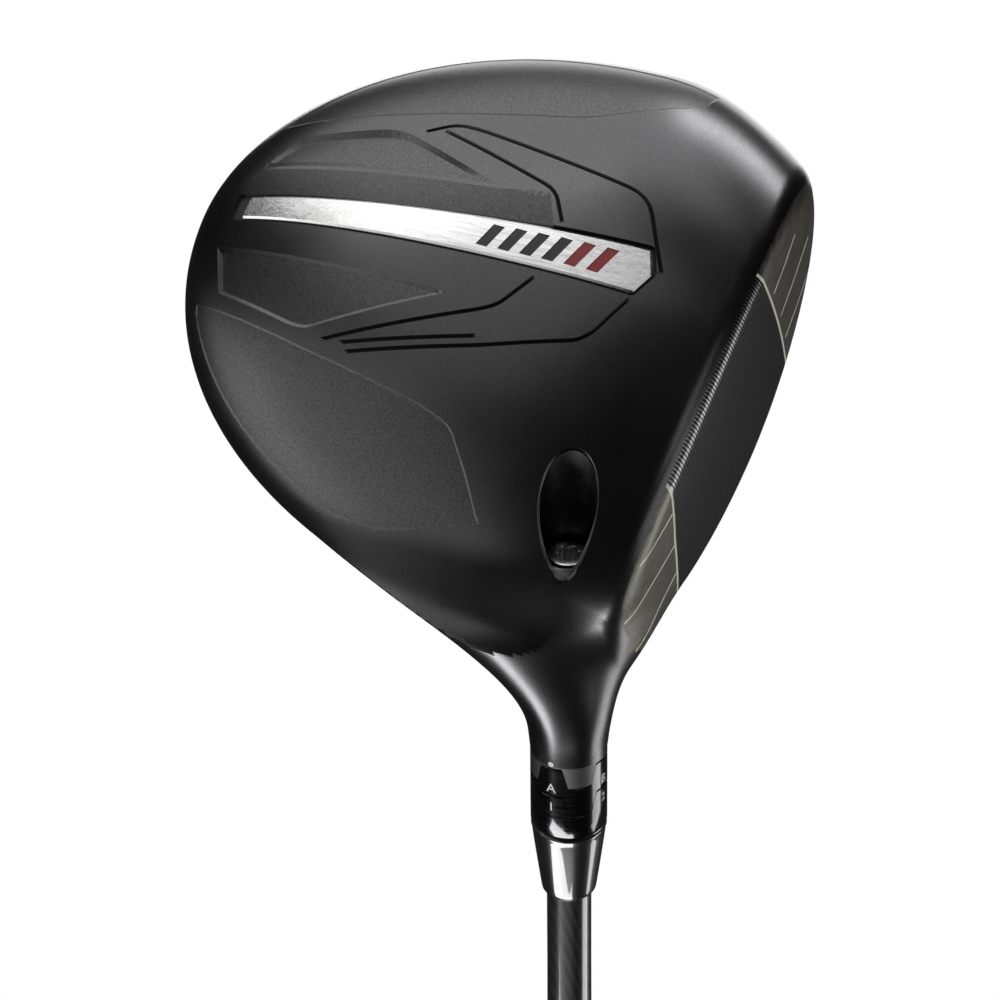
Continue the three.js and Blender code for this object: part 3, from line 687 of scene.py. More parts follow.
class Finish:
    """A procedural material, built up by short calls on its one Principled shader."""

    def __init__(self, name, color, roughness, **sockets):
        self.material = bpy.data.materials.new(name)
        self.material.use_nodes = True
        self.tree = self.material.node_tree
        self.shader = self.tree.nodes["Principled BSDF"]
        self.shader.inputs["Base Color"].default_value = (*color, 1)
        self.shader.inputs["Roughness"].default_value = roughness
        for socket, value in sockets.items():
            self.shader.inputs[socket.replace("_", " ").title().replace("Ior", "IOR")].default_value = value
        self.place = self.node("ShaderNodeTexCoord").outputs["Object"]
        self.height = None

    def node(self, kind, **settings):
        made = self.tree.nodes.new(kind)
        for name, value in settings.items():
            setattr(made, name, value)
        return made

    def feed(self, socket, value):
        if isinstance(value, bpy.types.NodeSocket):
            self.tree.links.new(value, socket)
        else:
            socket.default_value = value

    def math(self, operation, *values):
        made = self.node("ShaderNodeMath", operation=operation)
        for socket, value in zip(made.inputs, values):
            self.feed(socket, value)
        return made.outputs[0]

    def stretched(self, x, y, z, along=None):
        """Object coordinates scaled by x, y and z; along is a direction that becomes the z axis."""
        place = self.place
        if along is not None:
            turn = Vector(along).normalized().rotation_difference(Vector((0, 0, 1))).to_euler()
            spin = self.node("ShaderNodeMapping")
            spin.inputs["Rotation"].default_value = turn
            self.feed(spin.inputs["Vector"], place)
            place = spin.outputs[0]
        scaled = self.node("ShaderNodeMapping")
        scaled.inputs["Scale"].default_value = (x, y, z)
        self.feed(scaled.inputs["Vector"], place)
        return scaled.outputs[0]

    def noise(self, scale, detail=2, place=None):
        made = self.node("ShaderNodeTexNoise")
        made.inputs["Scale"].default_value = scale
        made.inputs["Detail"].default_value = detail
        self.feed(made.inputs["Vector"], place or self.place)
        return made.outputs["Fac"]

    def cells(self, scale, place=None):
        made = self.node("ShaderNodeTexVoronoi")
        made.inputs["Scale"].default_value = scale
        self.feed(made.inputs["Vector"], place or self.place)
        return made.outputs["Distance"]

    def waves(self, pitch, direction="X", place=None):
        made = self.node("ShaderNodeTexWave", bands_direction=direction)
        made.inputs["Scale"].default_value = math.pi / (10 * pitch * MM)
        self.feed(made.inputs["Vector"], place or self.place)
        return made.outputs["Fac"]

    def layer(self, name):
        return self.node("ShaderNodeAttribute", attribute_name=name).outputs["Fac"]

    def between(self, value, low, high, start=0.0, end=1.0):
        """Goes evenly from start to end while the value goes from low to high."""
        made = self.node("ShaderNodeMapRange")
        self.feed(made.inputs["Value"], value)
        for socket, number in zip(("From Min", "From Max", "To Min", "To Max"), (low, high, start, end)):
            made.inputs[socket].default_value = number
        return made.outputs["Result"]

    def color(self, share, start, end):
        made = self.node("ShaderNodeMix", data_type="RGBA")
        self.feed(made.inputs["Factor"], share)
        for socket, value in (("A", start), ("B", end)):
            found = next(i for i in made.inputs if i.name == socket and i.type == "RGBA")
            self.feed(found, value if isinstance(value, bpy.types.NodeSocket) else (*value, 1))
        return next(o for o in made.outputs if o.type == "RGBA")

    def number(self, share, start, end):
        """A number between start and end, either of which may be a socket."""
        made = self.node("ShaderNodeMix", data_type="FLOAT")
        self.feed(made.inputs["Factor"], share)
        self.feed(made.inputs["A"], start)
        self.feed(made.inputs["B"], end)
        return made.outputs["Result"]

    def set(self, **sockets):
        for name, value in sockets.items():
            self.feed(self.shader.inputs[name.replace("_", " ").title()], value)

    def tint(self, share, low, high, dark, light):
        """The base colour goes from dark to light while the share goes from low to high."""
        self.set(base_color=self.color(self.between(share, low, high), dark, light))

    def shine(self, share, low, high, start, end):
        """The roughness goes from start to end while the share goes from low to high."""
        self.set(roughness=self.between(share, low, high, start, end))

    def bump(self, height, depth, strength):
        """Raise the surface by the height's share of a depth in millimetres."""
        made = self.node("ShaderNodeBump")
        made.inputs["Strength"].default_value = strength
        made.inputs["Distance"].default_value = depth * MM
        self.feed(made.inputs["Height"], height)
        if self.height is not None:
            self.feed(made.inputs["Normal"], self.height)
        self.height = made.outputs[0]
        self.feed(self.shader.inputs["Normal"], self.height)


CREAM = (0.8, 0.76, 0.6)
BAND_START = 68.4


def grey(tone):
    return (tone, tone, tone)


def head_metal():
    """Dark blasted coating, bare brushed titanium on the face, and a satin band at the hosel's end."""
    f = Finish("head_metal", (0.08, 0.08, 0.083), 0.3, metallic=1.0)
    grain = f.noise(4200, 1)
    cloud = f.noise(60, 3)
    coating = f.color(f.between(grain, 0.3, 0.7), (0.066, 0.066, 0.068), (0.096, 0.096, 0.098))
    shine = f.between(cloud, 0.3, 0.7, 0.25, 0.31)

    streaks = f.noise(1, 3, f.stretched(260, 900, 3600))
    titanium = f.color(f.between(streaks, 0.35, 0.65), (0.075, 0.071, 0.06), (0.145, 0.139, 0.12))
    weave = f.math("MULTIPLY", f.waves(0.7, "X"), f.between(f.waves(0.9, "Z"), 0, 1, 0.55, 1))
    carbon = f.color(f.between(weave, 0.1, 0.75), (0.008, 0.008, 0.009), (0.2, 0.2, 0.204))
    toe_line = f.layer("toe_line")
    heel_line = f.layer("heel_line")
    nearest = f.math("MINIMUM", toe_line, heel_line)
    in_centre = f.between(nearest, -0.1, 0.1)
    line = f.between(f.math("ABSOLUTE", nearest), 0.25, 0.38, 1, 0)
    face = f.color(in_centre, titanium, carbon)
    face = f.color(line, face, CREAM)
    face_shine = f.number(in_centre, f.between(streaks, 0.3, 0.7, 0.36, 0.5), 0.3)

    on_face = f.between(f.layer("face_edge"), -0.08, 0.08)
    on_band = f.between(f.layer("along"), BAND_START - 0.1, BAND_START + 0.1)
    body = f.color(on_band, coating, (0.12, 0.12, 0.124))
    f.set(base_color=f.color(on_face, body, face))
    f.set(roughness=f.number(on_face, f.number(on_band, shine, 0.42), face_shine))
    f.set(metallic=f.math("SUBTRACT", 1.0, f.math("MULTIPLY", on_face, line)))
    f.bump(grain, 0.012, 0.35)
    f.bump(f.number(on_face, 0.5, f.number(in_centre, streaks, weave)), 0.03, 0.5)
    return f.material


def blasted(name, tone, shine, sparkle):
    """Coating over a coarser blasted surface, which glitters a little."""
    f = Finish(name, grey(tone), shine, metallic=1.0)
    grain = f.noise(2600, 2)
    f.tint(grain, 0.3, 0.7, grey(tone * 0.75), grey(tone * 1.3))
    f.shine(f.noise(5200, 1), 0.3, 0.7, shine - 0.07, shine + 0.07)
    f.bump(grain, 0.03, sparkle)
    return f.material


def paint(name, tone, shine):
    """Near-black paint on the sunk parts: black fill in the sole's grooves, and painted shade on the walls
    and floor of the bar's recess, where the shadow line round the bar falls.
    """
    f = Finish(name, grey(tone), shine)
    grain = f.noise(1800, 2)
    f.tint(grain, 0.35, 0.65, grey(tone * 0.8), grey(tone * 1.25))
    f.bump(grain, 0.02, 0.3)
    return f.material


def colored_paint(name, color):
    """Filled-in marks, a little worn."""
    f = Finish(name, color, 0.35)
    worn = f.noise(900, 3)
    f.tint(worn, 0.3, 0.7, tuple(0.85 * c for c in color), color)
    f.bump(worn, 0.01, 0.3)
    return f.material


def crown_gloss():
    """Black paint with fine flake under a clear coat."""
    f = Finish("crown_gloss", (0.006, 0.006, 0.007), 0.34, coat_weight=1.0, coat_roughness=0.03)
    flake = f.between(f.cells(3800), 0.0, 0.16, 1, 0)
    f.set(base_color=f.color(flake, (0.005, 0.005, 0.006), (0.05, 0.05, 0.055)))
    f.set(metallic=f.between(flake, 0, 1, 0.1, 0.8))
    f.bump(f.noise(220, 2), 0.012, 0.15)
    return f.material


BAR_ALONG = unit(np.array([5.0, 82.0, 0.0]))


def brushed_bar():
    """Bright nickel brushed along the bar, with longer and shorter strokes."""
    f = Finish("brushed_bar", (0.72, 0.72, 0.72), 0.26, metallic=1.0)
    fine = f.noise(1, 3, f.stretched(5200, 5200, 55, BAR_ALONG))
    broad = f.noise(1, 2, f.stretched(1100, 1100, 18, BAR_ALONG))
    both = f.math("ADD", f.math("MULTIPLY", fine, 0.65), f.math("MULTIPLY", broad, 0.35))
    f.tint(both, 0.35, 0.65, (0.5, 0.5, 0.5), (0.86, 0.86, 0.855))
    f.shine(both, 0.3, 0.7, 0.2, 0.38)
    f.bump(both, 0.02, 0.5)
    return f.material


def gloss_black(name, tone):
    """Polished black with faint ripples under a clear coat."""
    f = Finish(name, grey(tone), 0.3, coat_weight=1.0, coat_roughness=0.02)
    ripple = f.noise(300, 2)
    f.tint(ripple, 0.3, 0.7, grey(tone * 0.7), grey(tone * 1.4))
    f.bump(ripple, 0.006, 0.12)
    return f.material


def anodised():
    """Black anodised aluminium, turned, with hair-fine rings."""
    f = Finish("anodised", (0.03, 0.03, 0.032), 0.2, metallic=1.0, coat_weight=0.6, coat_roughness=0.04)
    rings = f.noise(1, 2, f.stretched(150, 150, 9000, AXIS))
    f.tint(rings, 0.3, 0.7, (0.022, 0.022, 0.024), (0.04, 0.04, 0.042))
    f.shine(rings, 0.3, 0.7, 0.14, 0.24)
    f.bump(rings, 0.006, 0.2)
    return f.material


def graphite():
    """Carbon cloth under lacquer: slanting tows that hardly show."""
    f = Finish("graphite", (0.006, 0.006, 0.007), 0.36, coat_weight=1.0, coat_roughness=0.02)
    slant = f.stretched(1, 1, 0.45, AXIS)
    upright = f.stretched(1, 1, 1, AXIS)
    tows = f.math("MULTIPLY", f.waves(1.1, "DIAGONAL", slant), f.waves(0.9, "Z", upright))
    f.set(base_color=f.color(tows, (0.004, 0.004, 0.005), (0.016, 0.016, 0.018)))
    f.shine(tows, 0, 1, 0.3, 0.42)
    f.bump(f.noise(260, 1), 0.005, 0.1)
    return f.material


def machined(name, tone, shine=0.28):
    """Turned steel with tool marks round the shaft axis."""
    f = Finish(name, grey(tone), shine, metallic=1.0)
    rings = f.noise(1, 3, f.stretched(400, 400, 7000, AXIS))
    f.tint(rings, 0.3, 0.7, grey(tone * 0.8), grey(tone * 1.2))
    f.shine(rings, 0.3, 0.7, shine - 0.08, shine + 0.08)
    f.bump(rings, 0.015, 0.4)
    return f.material


def rubber():
    """Moulded rubber with a dry bloom and fine pores."""
    f = Finish("rubber", (0.02, 0.02, 0.02), 0.8)
    pores = f.cells(2400)
    bloom = f.noise(45, 3)
    f.tint(bloom, 0.35, 0.7, (0.014, 0.014, 0.014), (0.032, 0.032, 0.031))
    f.shine(bloom, 0.3, 0.7, 0.72, 0.88)
    f.bump(pores, 0.05, 0.4)
    return f.material


def speckled(name, dark, light, scale, shine, depth=0.05):
    """A mottled natural or moulded stuff: glue, resin, nylon, cork or cast metal."""
    f = Finish(name, light, shine)
    spots = f.noise(scale, 4)
    f.tint(spots, 0.35, 0.65, dark, light)
    f.shine(spots, 0.3, 0.7, shine - 0.08, min(shine + 0.08, 1.0))
    f.bump(spots, depth, 0.4)
    return f.material


def woven_tape():
    """Paper grip tape with its fine crossed threads."""
    f = Finish("woven_tape", (0.6, 0.55, 0.44), 0.85)
    threads = f.math("MULTIPLY", f.waves(0.8, "Z", f.stretched(1, 1, 1, AXIS)), f.waves(0.8, "X"))
    f.set(base_color=f.color(threads, (0.42, 0.38, 0.29), (0.68, 0.63, 0.5)))
    f.bump(threads, 0.1, 0.5)
    return f.material


finishes = {
    "head_metal": head_metal(),
    "patch": blasted("patch_metal", 0.085, 0.36, 0.4),
    "panel": blasted("panel_metal", 0.08, 0.36, 0.4),
    # groove: black fill in the grooves and ticks, and painted shade on the bar recess's walls; recess:
    # painted shade on the recess floor that shows round the bar
    "groove": paint("groove_black", 0.003, 0.4),
    "recess": paint("recess_black", 0.012, 0.6),
    "cream": colored_paint("cream_paint", CREAM),
    "white": colored_paint("white_paint", (0.85, 0.85, 0.84)),
    "red": colored_paint("red_paint", (0.3, 0.012, 0.016)),
    "crown": crown_gloss(),
    "bar": brushed_bar(),
    "anodised": anodised(),
    "ferrule": gloss_black("ferrule_gloss", 0.004),
    "bore": machined("bore_steel", 0.1, 0.35),
    "shaft": graphite(),
    "screw": machined("screw_steel", 0.6),
    "rubber": rubber(),
    "adhesive": speckled("adhesive", (0.018, 0.017, 0.015), (0.045, 0.042, 0.037), 400, 0.6),
    "mass": machined("mass_steel", 0.32, 0.45),
    "resin": speckled("resin", (0.36, 0.25, 0.07), (0.5, 0.38, 0.16), 160, 0.4),
    "nylon": speckled("nylon", (0.62, 0.61, 0.56), (0.72, 0.71, 0.66), 900, 0.5, 0.02),
    "cork": speckled("cork", (0.2, 0.13, 0.07), (0.42, 0.29, 0.17), 1500, 0.85, 0.15),
    "tape": woven_tape(),
}

# ------------------------------------------------------------------ the head's three shells

CUP_DEPTH, CUP_HOSEL_LIMIT, PORT_CEILING = 7, 50, 22
NUDGE = 0.01

points, faces = head_surface()
normals = outward(points)
along_axis = (points + HEAD_ORIGIN - AXIS_FOOT) @ AXIS
spoke = points + HEAD_ORIGIN - AXIS_FOOT - along_axis[:, None] * AXIS
on_hosel = (along_axis > HOSEL_EDGE - 2.01) & (np.linalg.norm(spoke, axis=1) < HOSEL_RADIUS + 0.5)
normals[on_hosel] = unit(spoke[on_hosel])
centroids = points[faces].mean(axis=1)
depth, _ = relief_at(points, normals)
centre_normals = unit(normals[faces].mean(axis=1))
_, face_names = relief_at(centroids, centre_normals)
slope = np.zeros_like(centroids)
for axis_number in range(3):
    shift = np.zeros(3)
    shift[axis_number] = NUDGE
    ahead = relief_at(centroids + shift, centre_normals)[0]
    behind = relief_at(centroids - shift, centre_normals)[0]
    slope[:, axis_number] = (ahead - behind) / (2 * NUDGE)
slope -= np.sum(slope * centre_normals, axis=1, keepdims=True) * centre_normals
corner_normals = unit(normals[faces] + slope[:, None])
a, b, c = (points[faces[:, i]] for i in range(3))
flat_normals = unit(np.cross(b - a, c - a))
rim_face = on_hosel[faces].all(axis=1) & (np.sum(flat_normals * centre_normals, axis=1) < 0.9)
corner_normals[rim_face] = flat_normals[rim_face, None]
placed = points - normals * depth[:, None] + HEAD_ORIGIN

hole = (port_inside(centroids) > 0) & (centroids[:, 2] < PORT_CEILING)
crown_part = (inside_by(centroids[:, :2], crown_edge()) > 0) & (centre_normals[:, 2] > 0)
seam_plane = FACE_Y + CUP_DEPTH + (centroids[:, 2] - FACE_FOOT) * math.tan(0.7 * LOFT)
below_hosel = along_axis[faces[:, 0]] < CUP_HOSEL_LIMIT
face_part = (centroids[:, 1] < seam_plane) & ~hole & ~crown_part & below_hosel
casting_part = ~hole & ~crown_part & ~face_part

# the bar recess's walls and floor take near-black paint, which is painted shade round the bar
HEAD_GROUPS = {"toe_patch": 1, "heel_patch": 1, "toe_panel": 2, "toe_panel_floor": 2, "heel_panel": 2,
               "heel_panel_floor": 2, "toe_slope": 2, "groove": 3, "bar_recess": 3,
               "bar_recess_floor": 4, "score": 5}


def head_piece(name, chosen, slot, node, materials):
    """One shell of the head, with the measures that its finish draws the face's lines from."""
    piece, used = make_piece(name, placed, faces[chosen], corner_normals[chosen])
    p = points[used]
    in_front = face_distance(p)
    plain = smooth_max(domes(p), in_front, FACE_EDGE)
    attribute(piece, "face_edge", np.minimum(in_front - np.minimum(domes(p), 0.45), 2.5 - plain))
    toe_x = np.interp(p[:, 2], [z for _, z in CENTRE_TOE], [x for x, _ in CENTRE_TOE])
    heel_x = np.interp(p[:, 2], [z for _, z in CENTRE_HEEL], [x for x, _ in CENTRE_HEEL])
    attribute(piece, "toe_line", p[:, 0] - toe_x)
    attribute(piece, "heel_line", heel_x - p[:, 0])
    attribute(piece, "along", np.where(on_hosel[used], along_axis[used], 0))
    dress(piece, [finishes[m] for m in materials], face_names[chosen], HEAD_GROUPS)
    return settle(piece, "head", slot, node)


HEAD_FINISHES = ["head_metal", "patch", "panel", "groove", "recess", "cream"]
head_piece("head_body", casting_part, "casting", "head_casting", HEAD_FINISHES)
head_piece("face_cup_skin", face_part, "face", "face_cup", HEAD_FINISHES)
head_piece("crown_skin", crown_part, "crown", "crown_shell", ["crown"] * len(HEAD_FINISHES))


# ------------------------------------------------------------------ the bar in the sole

BAR_TOP, BAR_UNDER, BAR_BEVEL = 0.15, 1.1, 0.4
TICK_START, TICK_PITCH, TICK_COUNT, BLACK_TICKS = 15, 4.4, 6, 4
TICK_LENGTH, TICK_SHARE, TICK_SLANT, TICK_SUNK, TICK_WALL = 2.3, 0.6, 0.4, 0.12, 0.08


def bar_edges(y):
    """The bar's toe and heel edges at y."""
    (toe_back, heel_back, heel_front, _, toe_front) = BAR
    toe = np.interp(y, [toe_front[1], toe_back[1]], [toe_front[0], toe_back[0]])
    heel = np.interp(y, [heel_front[1], heel_back[1]], [heel_front[0], heel_back[0]])
    return toe, heel


def tick(y):
    """A slanted plain stroke across the bar."""
    toe, heel = bar_edges(y)
    middle, half = (toe + heel) / 2, TICK_SHARE * (heel - toe) / 2
    lean = TICK_SLANT * half
    return [(middle - half, y - lean), (middle + half, y + lean),
            (middle + half, y + lean + TICK_LENGTH), (middle - half, y - lean + TICK_LENGTH)]


def sole_bar():
    """The bar, let into the sole and following it, with painted ticks sunk into its face."""
    outline = rounded(grown(BAR, -0.05), 0.5)
    ticks = [tick(TICK_START - TICK_PITCH * i) for i in range(TICK_COUNT)]
    loops = [outline, grown(outline, -BAR_BEVEL)] + ticks
    loops += [grown(t, -TICK_WALL) for t in ticks]
    flat, edges = [], []
    for loop in loops:
        drawn = resample(loop, 1.2)
        first = len(flat)
        edges += [(first + i, first + (i + 1) % len(drawn)) for i in range(len(drawn))]
        flat += [tuple(p) for p in drawn]
    grid = np.stack(np.meshgrid(np.arange(-11, 4, 1.3), np.arange(-16, 71, 1.3)), axis=2).reshape(-1, 2)
    clear = np.min([np.abs(inside_by(grid, loop)) for loop in loops], axis=0) > 0.5
    flat += [tuple(p) for p in grid[clear & (inside_by(grid, outline) > 0)]]
    corners, _, triangles, _, _, _ = delaunay_2d_cdt([Vector(p) for p in flat], edges, [], 0, 1e-6, False)
    plan = np.array([tuple(c) for c in corners])
    triangles = np.array(triangles)
    triangles = triangles[inside_by(plan[triangles].mean(axis=1), outline) > 0]

    skin = onto_head(plan, (0, 1))
    normal = outward(skin)
    bevel = np.clip(inside_by(plan, outline) / BAR_BEVEL, 0, 1)
    sunk = np.max([np.clip(inside_by(plan, t) / TICK_WALL, 0, 1) for t in ticks], axis=0)
    top = skin - normal * (BAR_TOP + 0.3 * (1 - bevel) + TICK_SUNK * sunk)[:, None]
    under = skin - normal * BAR_UNDER
    count = len(plan)
    a, b, c = (top[triangles[:, i]] for i in range(3))
    if np.cross(b - a, c - a)[:, 2].sum() > 0:
        triangles = triangles[:, ::-1]
    pairs = {tuple(e) for t in triangles.tolist() for e in ((t[0], t[1]), (t[1], t[2]), (t[2], t[0]))}
    rim = np.array([e for e in pairs if (e[1], e[0]) not in pairs])
    walls = np.concatenate([np.stack([rim[:, 1], rim[:, 0], rim[:, 0] + count], 1),
                            np.stack([rim[:, 1], rim[:, 0] + count, rim[:, 1] + count], 1)])
    all_faces = np.concatenate([triangles, triangles[:, ::-1] + count, walls])
    middles = plan[triangles].mean(axis=1)
    names = np.full(len(all_faces), "bar", dtype=object)
    for i, t in enumerate(ticks):
        chosen = np.flatnonzero(inside_by(middles, t) > 0)
        names[chosen] = "black_tick" if i < BLACK_TICKS else "red_tick"
    placed_bar = np.concatenate([top, under]) + HEAD_ORIGIN
    piece, _ = make_piece("sole_bar_plate", placed_bar, all_faces, sharp=20)
    materials = [finishes[name] for name in ("bar", "groove", "red")]
    dress(piece, materials, names, {"black_tick": 1, "red_tick": 2})
    return settle(piece, "head", "sole_bar", "sole_bar")


sole_bar()


# ------------------------------------------------------------------ pieces on the shaft axis

PART_GAP = 0.3
SEAT_LOW, SEAT_HIGH = span("screw_washer")[1] + PART_GAP, span("screw_retainer")[0] - PART_GAP
SCREW_HOLE, LINER = 2.9, 0.12


def axis_piece(name, profile, finish, body, slot, node, sides=96, sharp=30):
    piece = turned(name, profile, sides, sharp)
    dress(piece, [finishes[finish]])
    settle(piece, body, slot, node)


def port_height(radius):
    """Height of the sole along the shaft axis, at a radius round it, as a function of the turn."""
    loop = port_loop(radius)
    heights = (loop + HEAD_ORIGIN - AXIS_FOOT) @ AXIS
    turns = np.linspace(0, 2 * math.pi, len(loop) + 1)
    return lambda turn: np.interp(turn % (2 * math.pi), turns, np.append(heights, heights[0]))


port_mouth = port_height(PORT_RADIUS)


def bore_profile(turn):
    """A thin liner from the port's mouth, past the screw's seat, to the hosel's rim."""
    mouth = port_mouth(turn) + 0.25
    top = hosel_line(turn) - PART_GAP
    wide, narrow = BORE_RADIUS + LINER, PORT_RADIUS + LINER
    return [(narrow, mouth), (narrow, SEAT_LOW + 0.5), (wide, SEAT_HIGH - 0.5), (wide, top),
            (BORE_RADIUS, top), (BORE_RADIUS, SEAT_HIGH), (SCREW_HOLE, SEAT_HIGH), (SCREW_HOLE, SEAT_LOW),
            (PORT_RADIUS, SEAT_LOW), (PORT_RADIUS, SEAT_LOW - 5), (PORT_RADIUS, mouth)]


axis_piece("hosel_bore", bore_profile, "bore", "head", "casting", "head_casting")


SCREW_RADIUS, THREAD_PITCH, THREAD_DEPTH = 2.45, 0.8, 0.28
SOCKET_RADIUS, SOCKET_LOBE, SOCKET_DEPTH = 2.05, 0.28, 2.8


def screw_profile(turn):
    """A six-lobed socket, the head, a plain neck, and a thread that climbs a pitch in each turn."""
    low, top, radius = span("hosel_screw")
    neck = span("screw_washer")[0] - PART_GAP
    socket = SOCKET_RADIUS + SOCKET_LOBE * math.cos(6 * turn)
    floor = low + SOCKET_DEPTH
    outline = [(0, floor), (socket, floor), (socket, low + 0.2), (socket + 0.2, low), (radius - 0.45, low),
               (radius - 0.12, low + 0.14), (radius, low + 0.5), (radius, neck - 0.15),
               (radius - 0.15, neck), (2.6, neck), (SCREW_RADIUS, neck + 0.15)]
    for along in np.arange(SEAT_HIGH + 3, top - 0.5, 0.1):
        phase = (along / THREAD_PITCH - turn / (2 * math.pi)) % 1
        outline.append((SCREW_RADIUS - THREAD_DEPTH * abs(2 * phase - 1), along))
    return outline + [(2.0, top), (0, top)]


axis_piece("wrench_screw", screw_profile, "screw", "screw", "screw", "hosel_screw", sharp=40)


def ring_profile(turn):
    """The ring, tabbed below and above."""
    low, high = hosel_line(turn) + TAB_GAP, ring_line(turn) - TAB_GAP
    r, c = HOSEL_RADIUS, RIM_CHAMFER
    rows = [(BORE_RADIUS, low), (r - c, low), (r, low + c)]
    rows += [(r, mix(low + c, high - c, share)) for share in (0.25, 0.5, 0.75)]
    return rows + [(r, high - c), (r - c, high), (BORE_RADIUS, high)]


axis_piece("setting_ring", ring_profile, "anodised", "ring", "anodised", "adjustment_ring", 180)


SPLINE_COUNT, SPLINE_RADIUS, SPLINE_DEPTH, SPLINE_TOP = 24, 5.6, 0.45, 58
SLEEVE_BORE, THREAD_HOLE, O_RING_FLOOR = 4.5, 2.75, 4.87


def sleeve_profile(turn):
    """Splines, the O-ring's groove, the tabbed collar, and the bore that holds the shaft."""
    foot, top, _ = span("shaft_sleeve")
    floor = span("shaft")[0] - PART_GAP
    low = ring_line(turn) + TAB_GAP
    spline = SPLINE_RADIUS - SPLINE_DEPTH * min(1, max(0, 0.5 + 1.2 * math.cos(SPLINE_COUNT * turn)))
    waist = SPLINE_RADIUS - 0.5
    r, c = HOSEL_RADIUS, RIM_CHAMFER
    groove_low, groove_high = span("sleeve_o_ring")[0] - PART_GAP, span("sleeve_o_ring")[1] + PART_GAP
    return [(THREAD_HOLE, foot), (5.0, foot), (SPLINE_RADIUS - SPLINE_DEPTH, foot + 0.6),
            (spline, foot + 2), (spline, SPLINE_TOP), (waist, SPLINE_TOP + 0.6), (waist, SPLINE_TOP + 2),
            (SPLINE_RADIUS, SPLINE_TOP + 2.6), (SPLINE_RADIUS, groove_low), (O_RING_FLOOR, groove_low),
            (O_RING_FLOOR, groove_high), (SPLINE_RADIUS, groove_high), (SPLINE_RADIUS, low),
            (r - c, low), (r, low + c), (r, mix(low, top, 0.5)), (r, top - 0.3), (r - 0.12, top - 0.05),
            (r - 0.3, top), (SLEEVE_BORE, top), (SLEEVE_BORE, floor), (THREAD_HOLE, floor)]


axis_piece("shaft_adapter", sleeve_profile, "anodised", "shaft_assembly", "anodised", "shaft_sleeve", 192)


def ferrule_profile(turn):
    """A cone with a fine step at its foot and a rounded lip against the shaft."""
    low, top, radius = span("ferrule")
    heights = np.linspace(low + 1.2, top - 1.0, 16)
    share = (heights - low - 1.2) / (top - low - 2.2)
    body = [(mix(radius - 0.15, 5.2, s ** 1.08), h) for s, h in zip(share, heights)]
    return [(SLEEVE_BORE, low), (radius - 0.5, low), (radius - 0.32, low + 0.1), (radius - 0.3, low + 0.35),
            (radius - 0.02, low + 0.55), (radius, low + 0.75)] + body + [
            (5.1, top - 0.5), (4.9, top - 0.15), (4.7, top), (SLEEVE_BORE, top)]


axis_piece("ferrule_sleeve", ferrule_profile, "ferrule", "shaft_assembly", "ferrule", "ferrule")

SHAFT_FOOT, SHAFT_END, BUTT_RADIUS = span("shaft")
TIP_RADIUS, TAPER_START, SHAFT_WALL = 4.2, 120, 1.1


def shaft_radius(along):
    """Even up to TAPER_START, and then growing to the butt."""
    return mix(TIP_RADIUS, BUTT_RADIUS, np.clip((along - TAPER_START) / (SHAFT_END - TAPER_START), 0, 1))


def shaft_profile(turn):
    heights = np.concatenate([[SHAFT_FOOT, 90, 105], np.linspace(TAPER_START, SHAFT_END, 24)])
    outside = [(shaft_radius(h), h) for h in heights]
    inside = [(shaft_radius(h) - SHAFT_WALL, h) for h in heights[::-3]]
    return outside + inside


axis_piece("shaft_tube", shaft_profile, "shaft", "shaft_assembly", "shaft", "shaft")

GRIP_MOUTH, GRIP_END, GRIP_RADIUS = span("grip")
TAPE_GAP = 0.85
GRIP_RADII = [(0, 8.75), (3, 9.2), (90, 10.2), (200, 11.6), (245, 12.6)]


def grip_relief(turn, along):
    """Depth of the moulded pattern: crossed grooves above and below, and plain bands with rings."""
    from_mouth = along - GRIP_MOUTH
    pattern = 0.0
    if 14 < from_mouth < 118 or 132 < from_mouth < 250:
        for way in (-1, 1):
            phase = (from_mouth / 7 + way * 10 * turn / (2 * math.pi)) % 1
            pattern = max(pattern, 1 - abs(phase - 0.5) / 0.16)
    elif 120 < from_mouth < 130 or 5 < from_mouth < 12 or 253 < from_mouth < 262:
        pattern = 1 - abs((from_mouth / 2.5) % 1 - 0.5) / 0.3
    return 0.4 * max(0.0, min(1.0, pattern))


def grip_profile(turn):
    """The grip's swelling outside with its pattern, a vent hole, and the inside over the tape."""
    heights = np.linspace(GRIP_MOUTH + 1.0, GRIP_END - 0.3, 300)
    known = [(GRIP_MOUTH + along, radius) for along, radius in GRIP_RADII]
    known += [(GRIP_END - 3, GRIP_RADIUS), (GRIP_END, GRIP_RADIUS)]
    radii = np.interp(heights, *zip(*known))
    outside = [(r - grip_relief(turn, h), h) for r, h in zip(radii, heights)]
    inner_low, inner_high = shaft_radius(GRIP_MOUTH) + TAPE_GAP, shaft_radius(SHAFT_END) + TAPE_GAP
    return [(inner_low, GRIP_MOUTH), (8.5, GRIP_MOUTH), (8.75, GRIP_MOUTH + 0.3)] + outside + [
        (GRIP_RADIUS - 0.2, GRIP_END), (3, GRIP_END), (3, SHAFT_END + PART_GAP),
        (inner_high, SHAFT_END + PART_GAP)]


axis_piece("grip_rubber", grip_profile, "rubber", "shaft_assembly", "rubber", "grip", 120, 50)


def cap_profile(turn):
    """A rounded edge, a ring groove and a dished middle round the vent."""
    low, top, radius = span("grip_cap")
    edge = [(radius - 1.6 * (1 - math.cos(bend)), low + 1.2 + 1.5 * math.sin(bend))
            for bend in np.linspace(0.05, 1.3, 7)]
    rings = [(11.2, top), (9.4, top), (9.1, top - 0.4), (8.5, top - 0.4), (8.2, top),
             (3.2, top), (2.8, top - 0.5), (1.5, top - 0.5), (1.2, top - 0.7)]
    return [(1.0, low), (radius, low), (radius, low + 1.1)] + edge + rings + [(1.0, top - 0.8)]


axis_piece("grip_end_cap", cap_profile, "rubber", "shaft_assembly", "rubber", "grip_cap")


# ------------------------------------------------------------------ painted marks

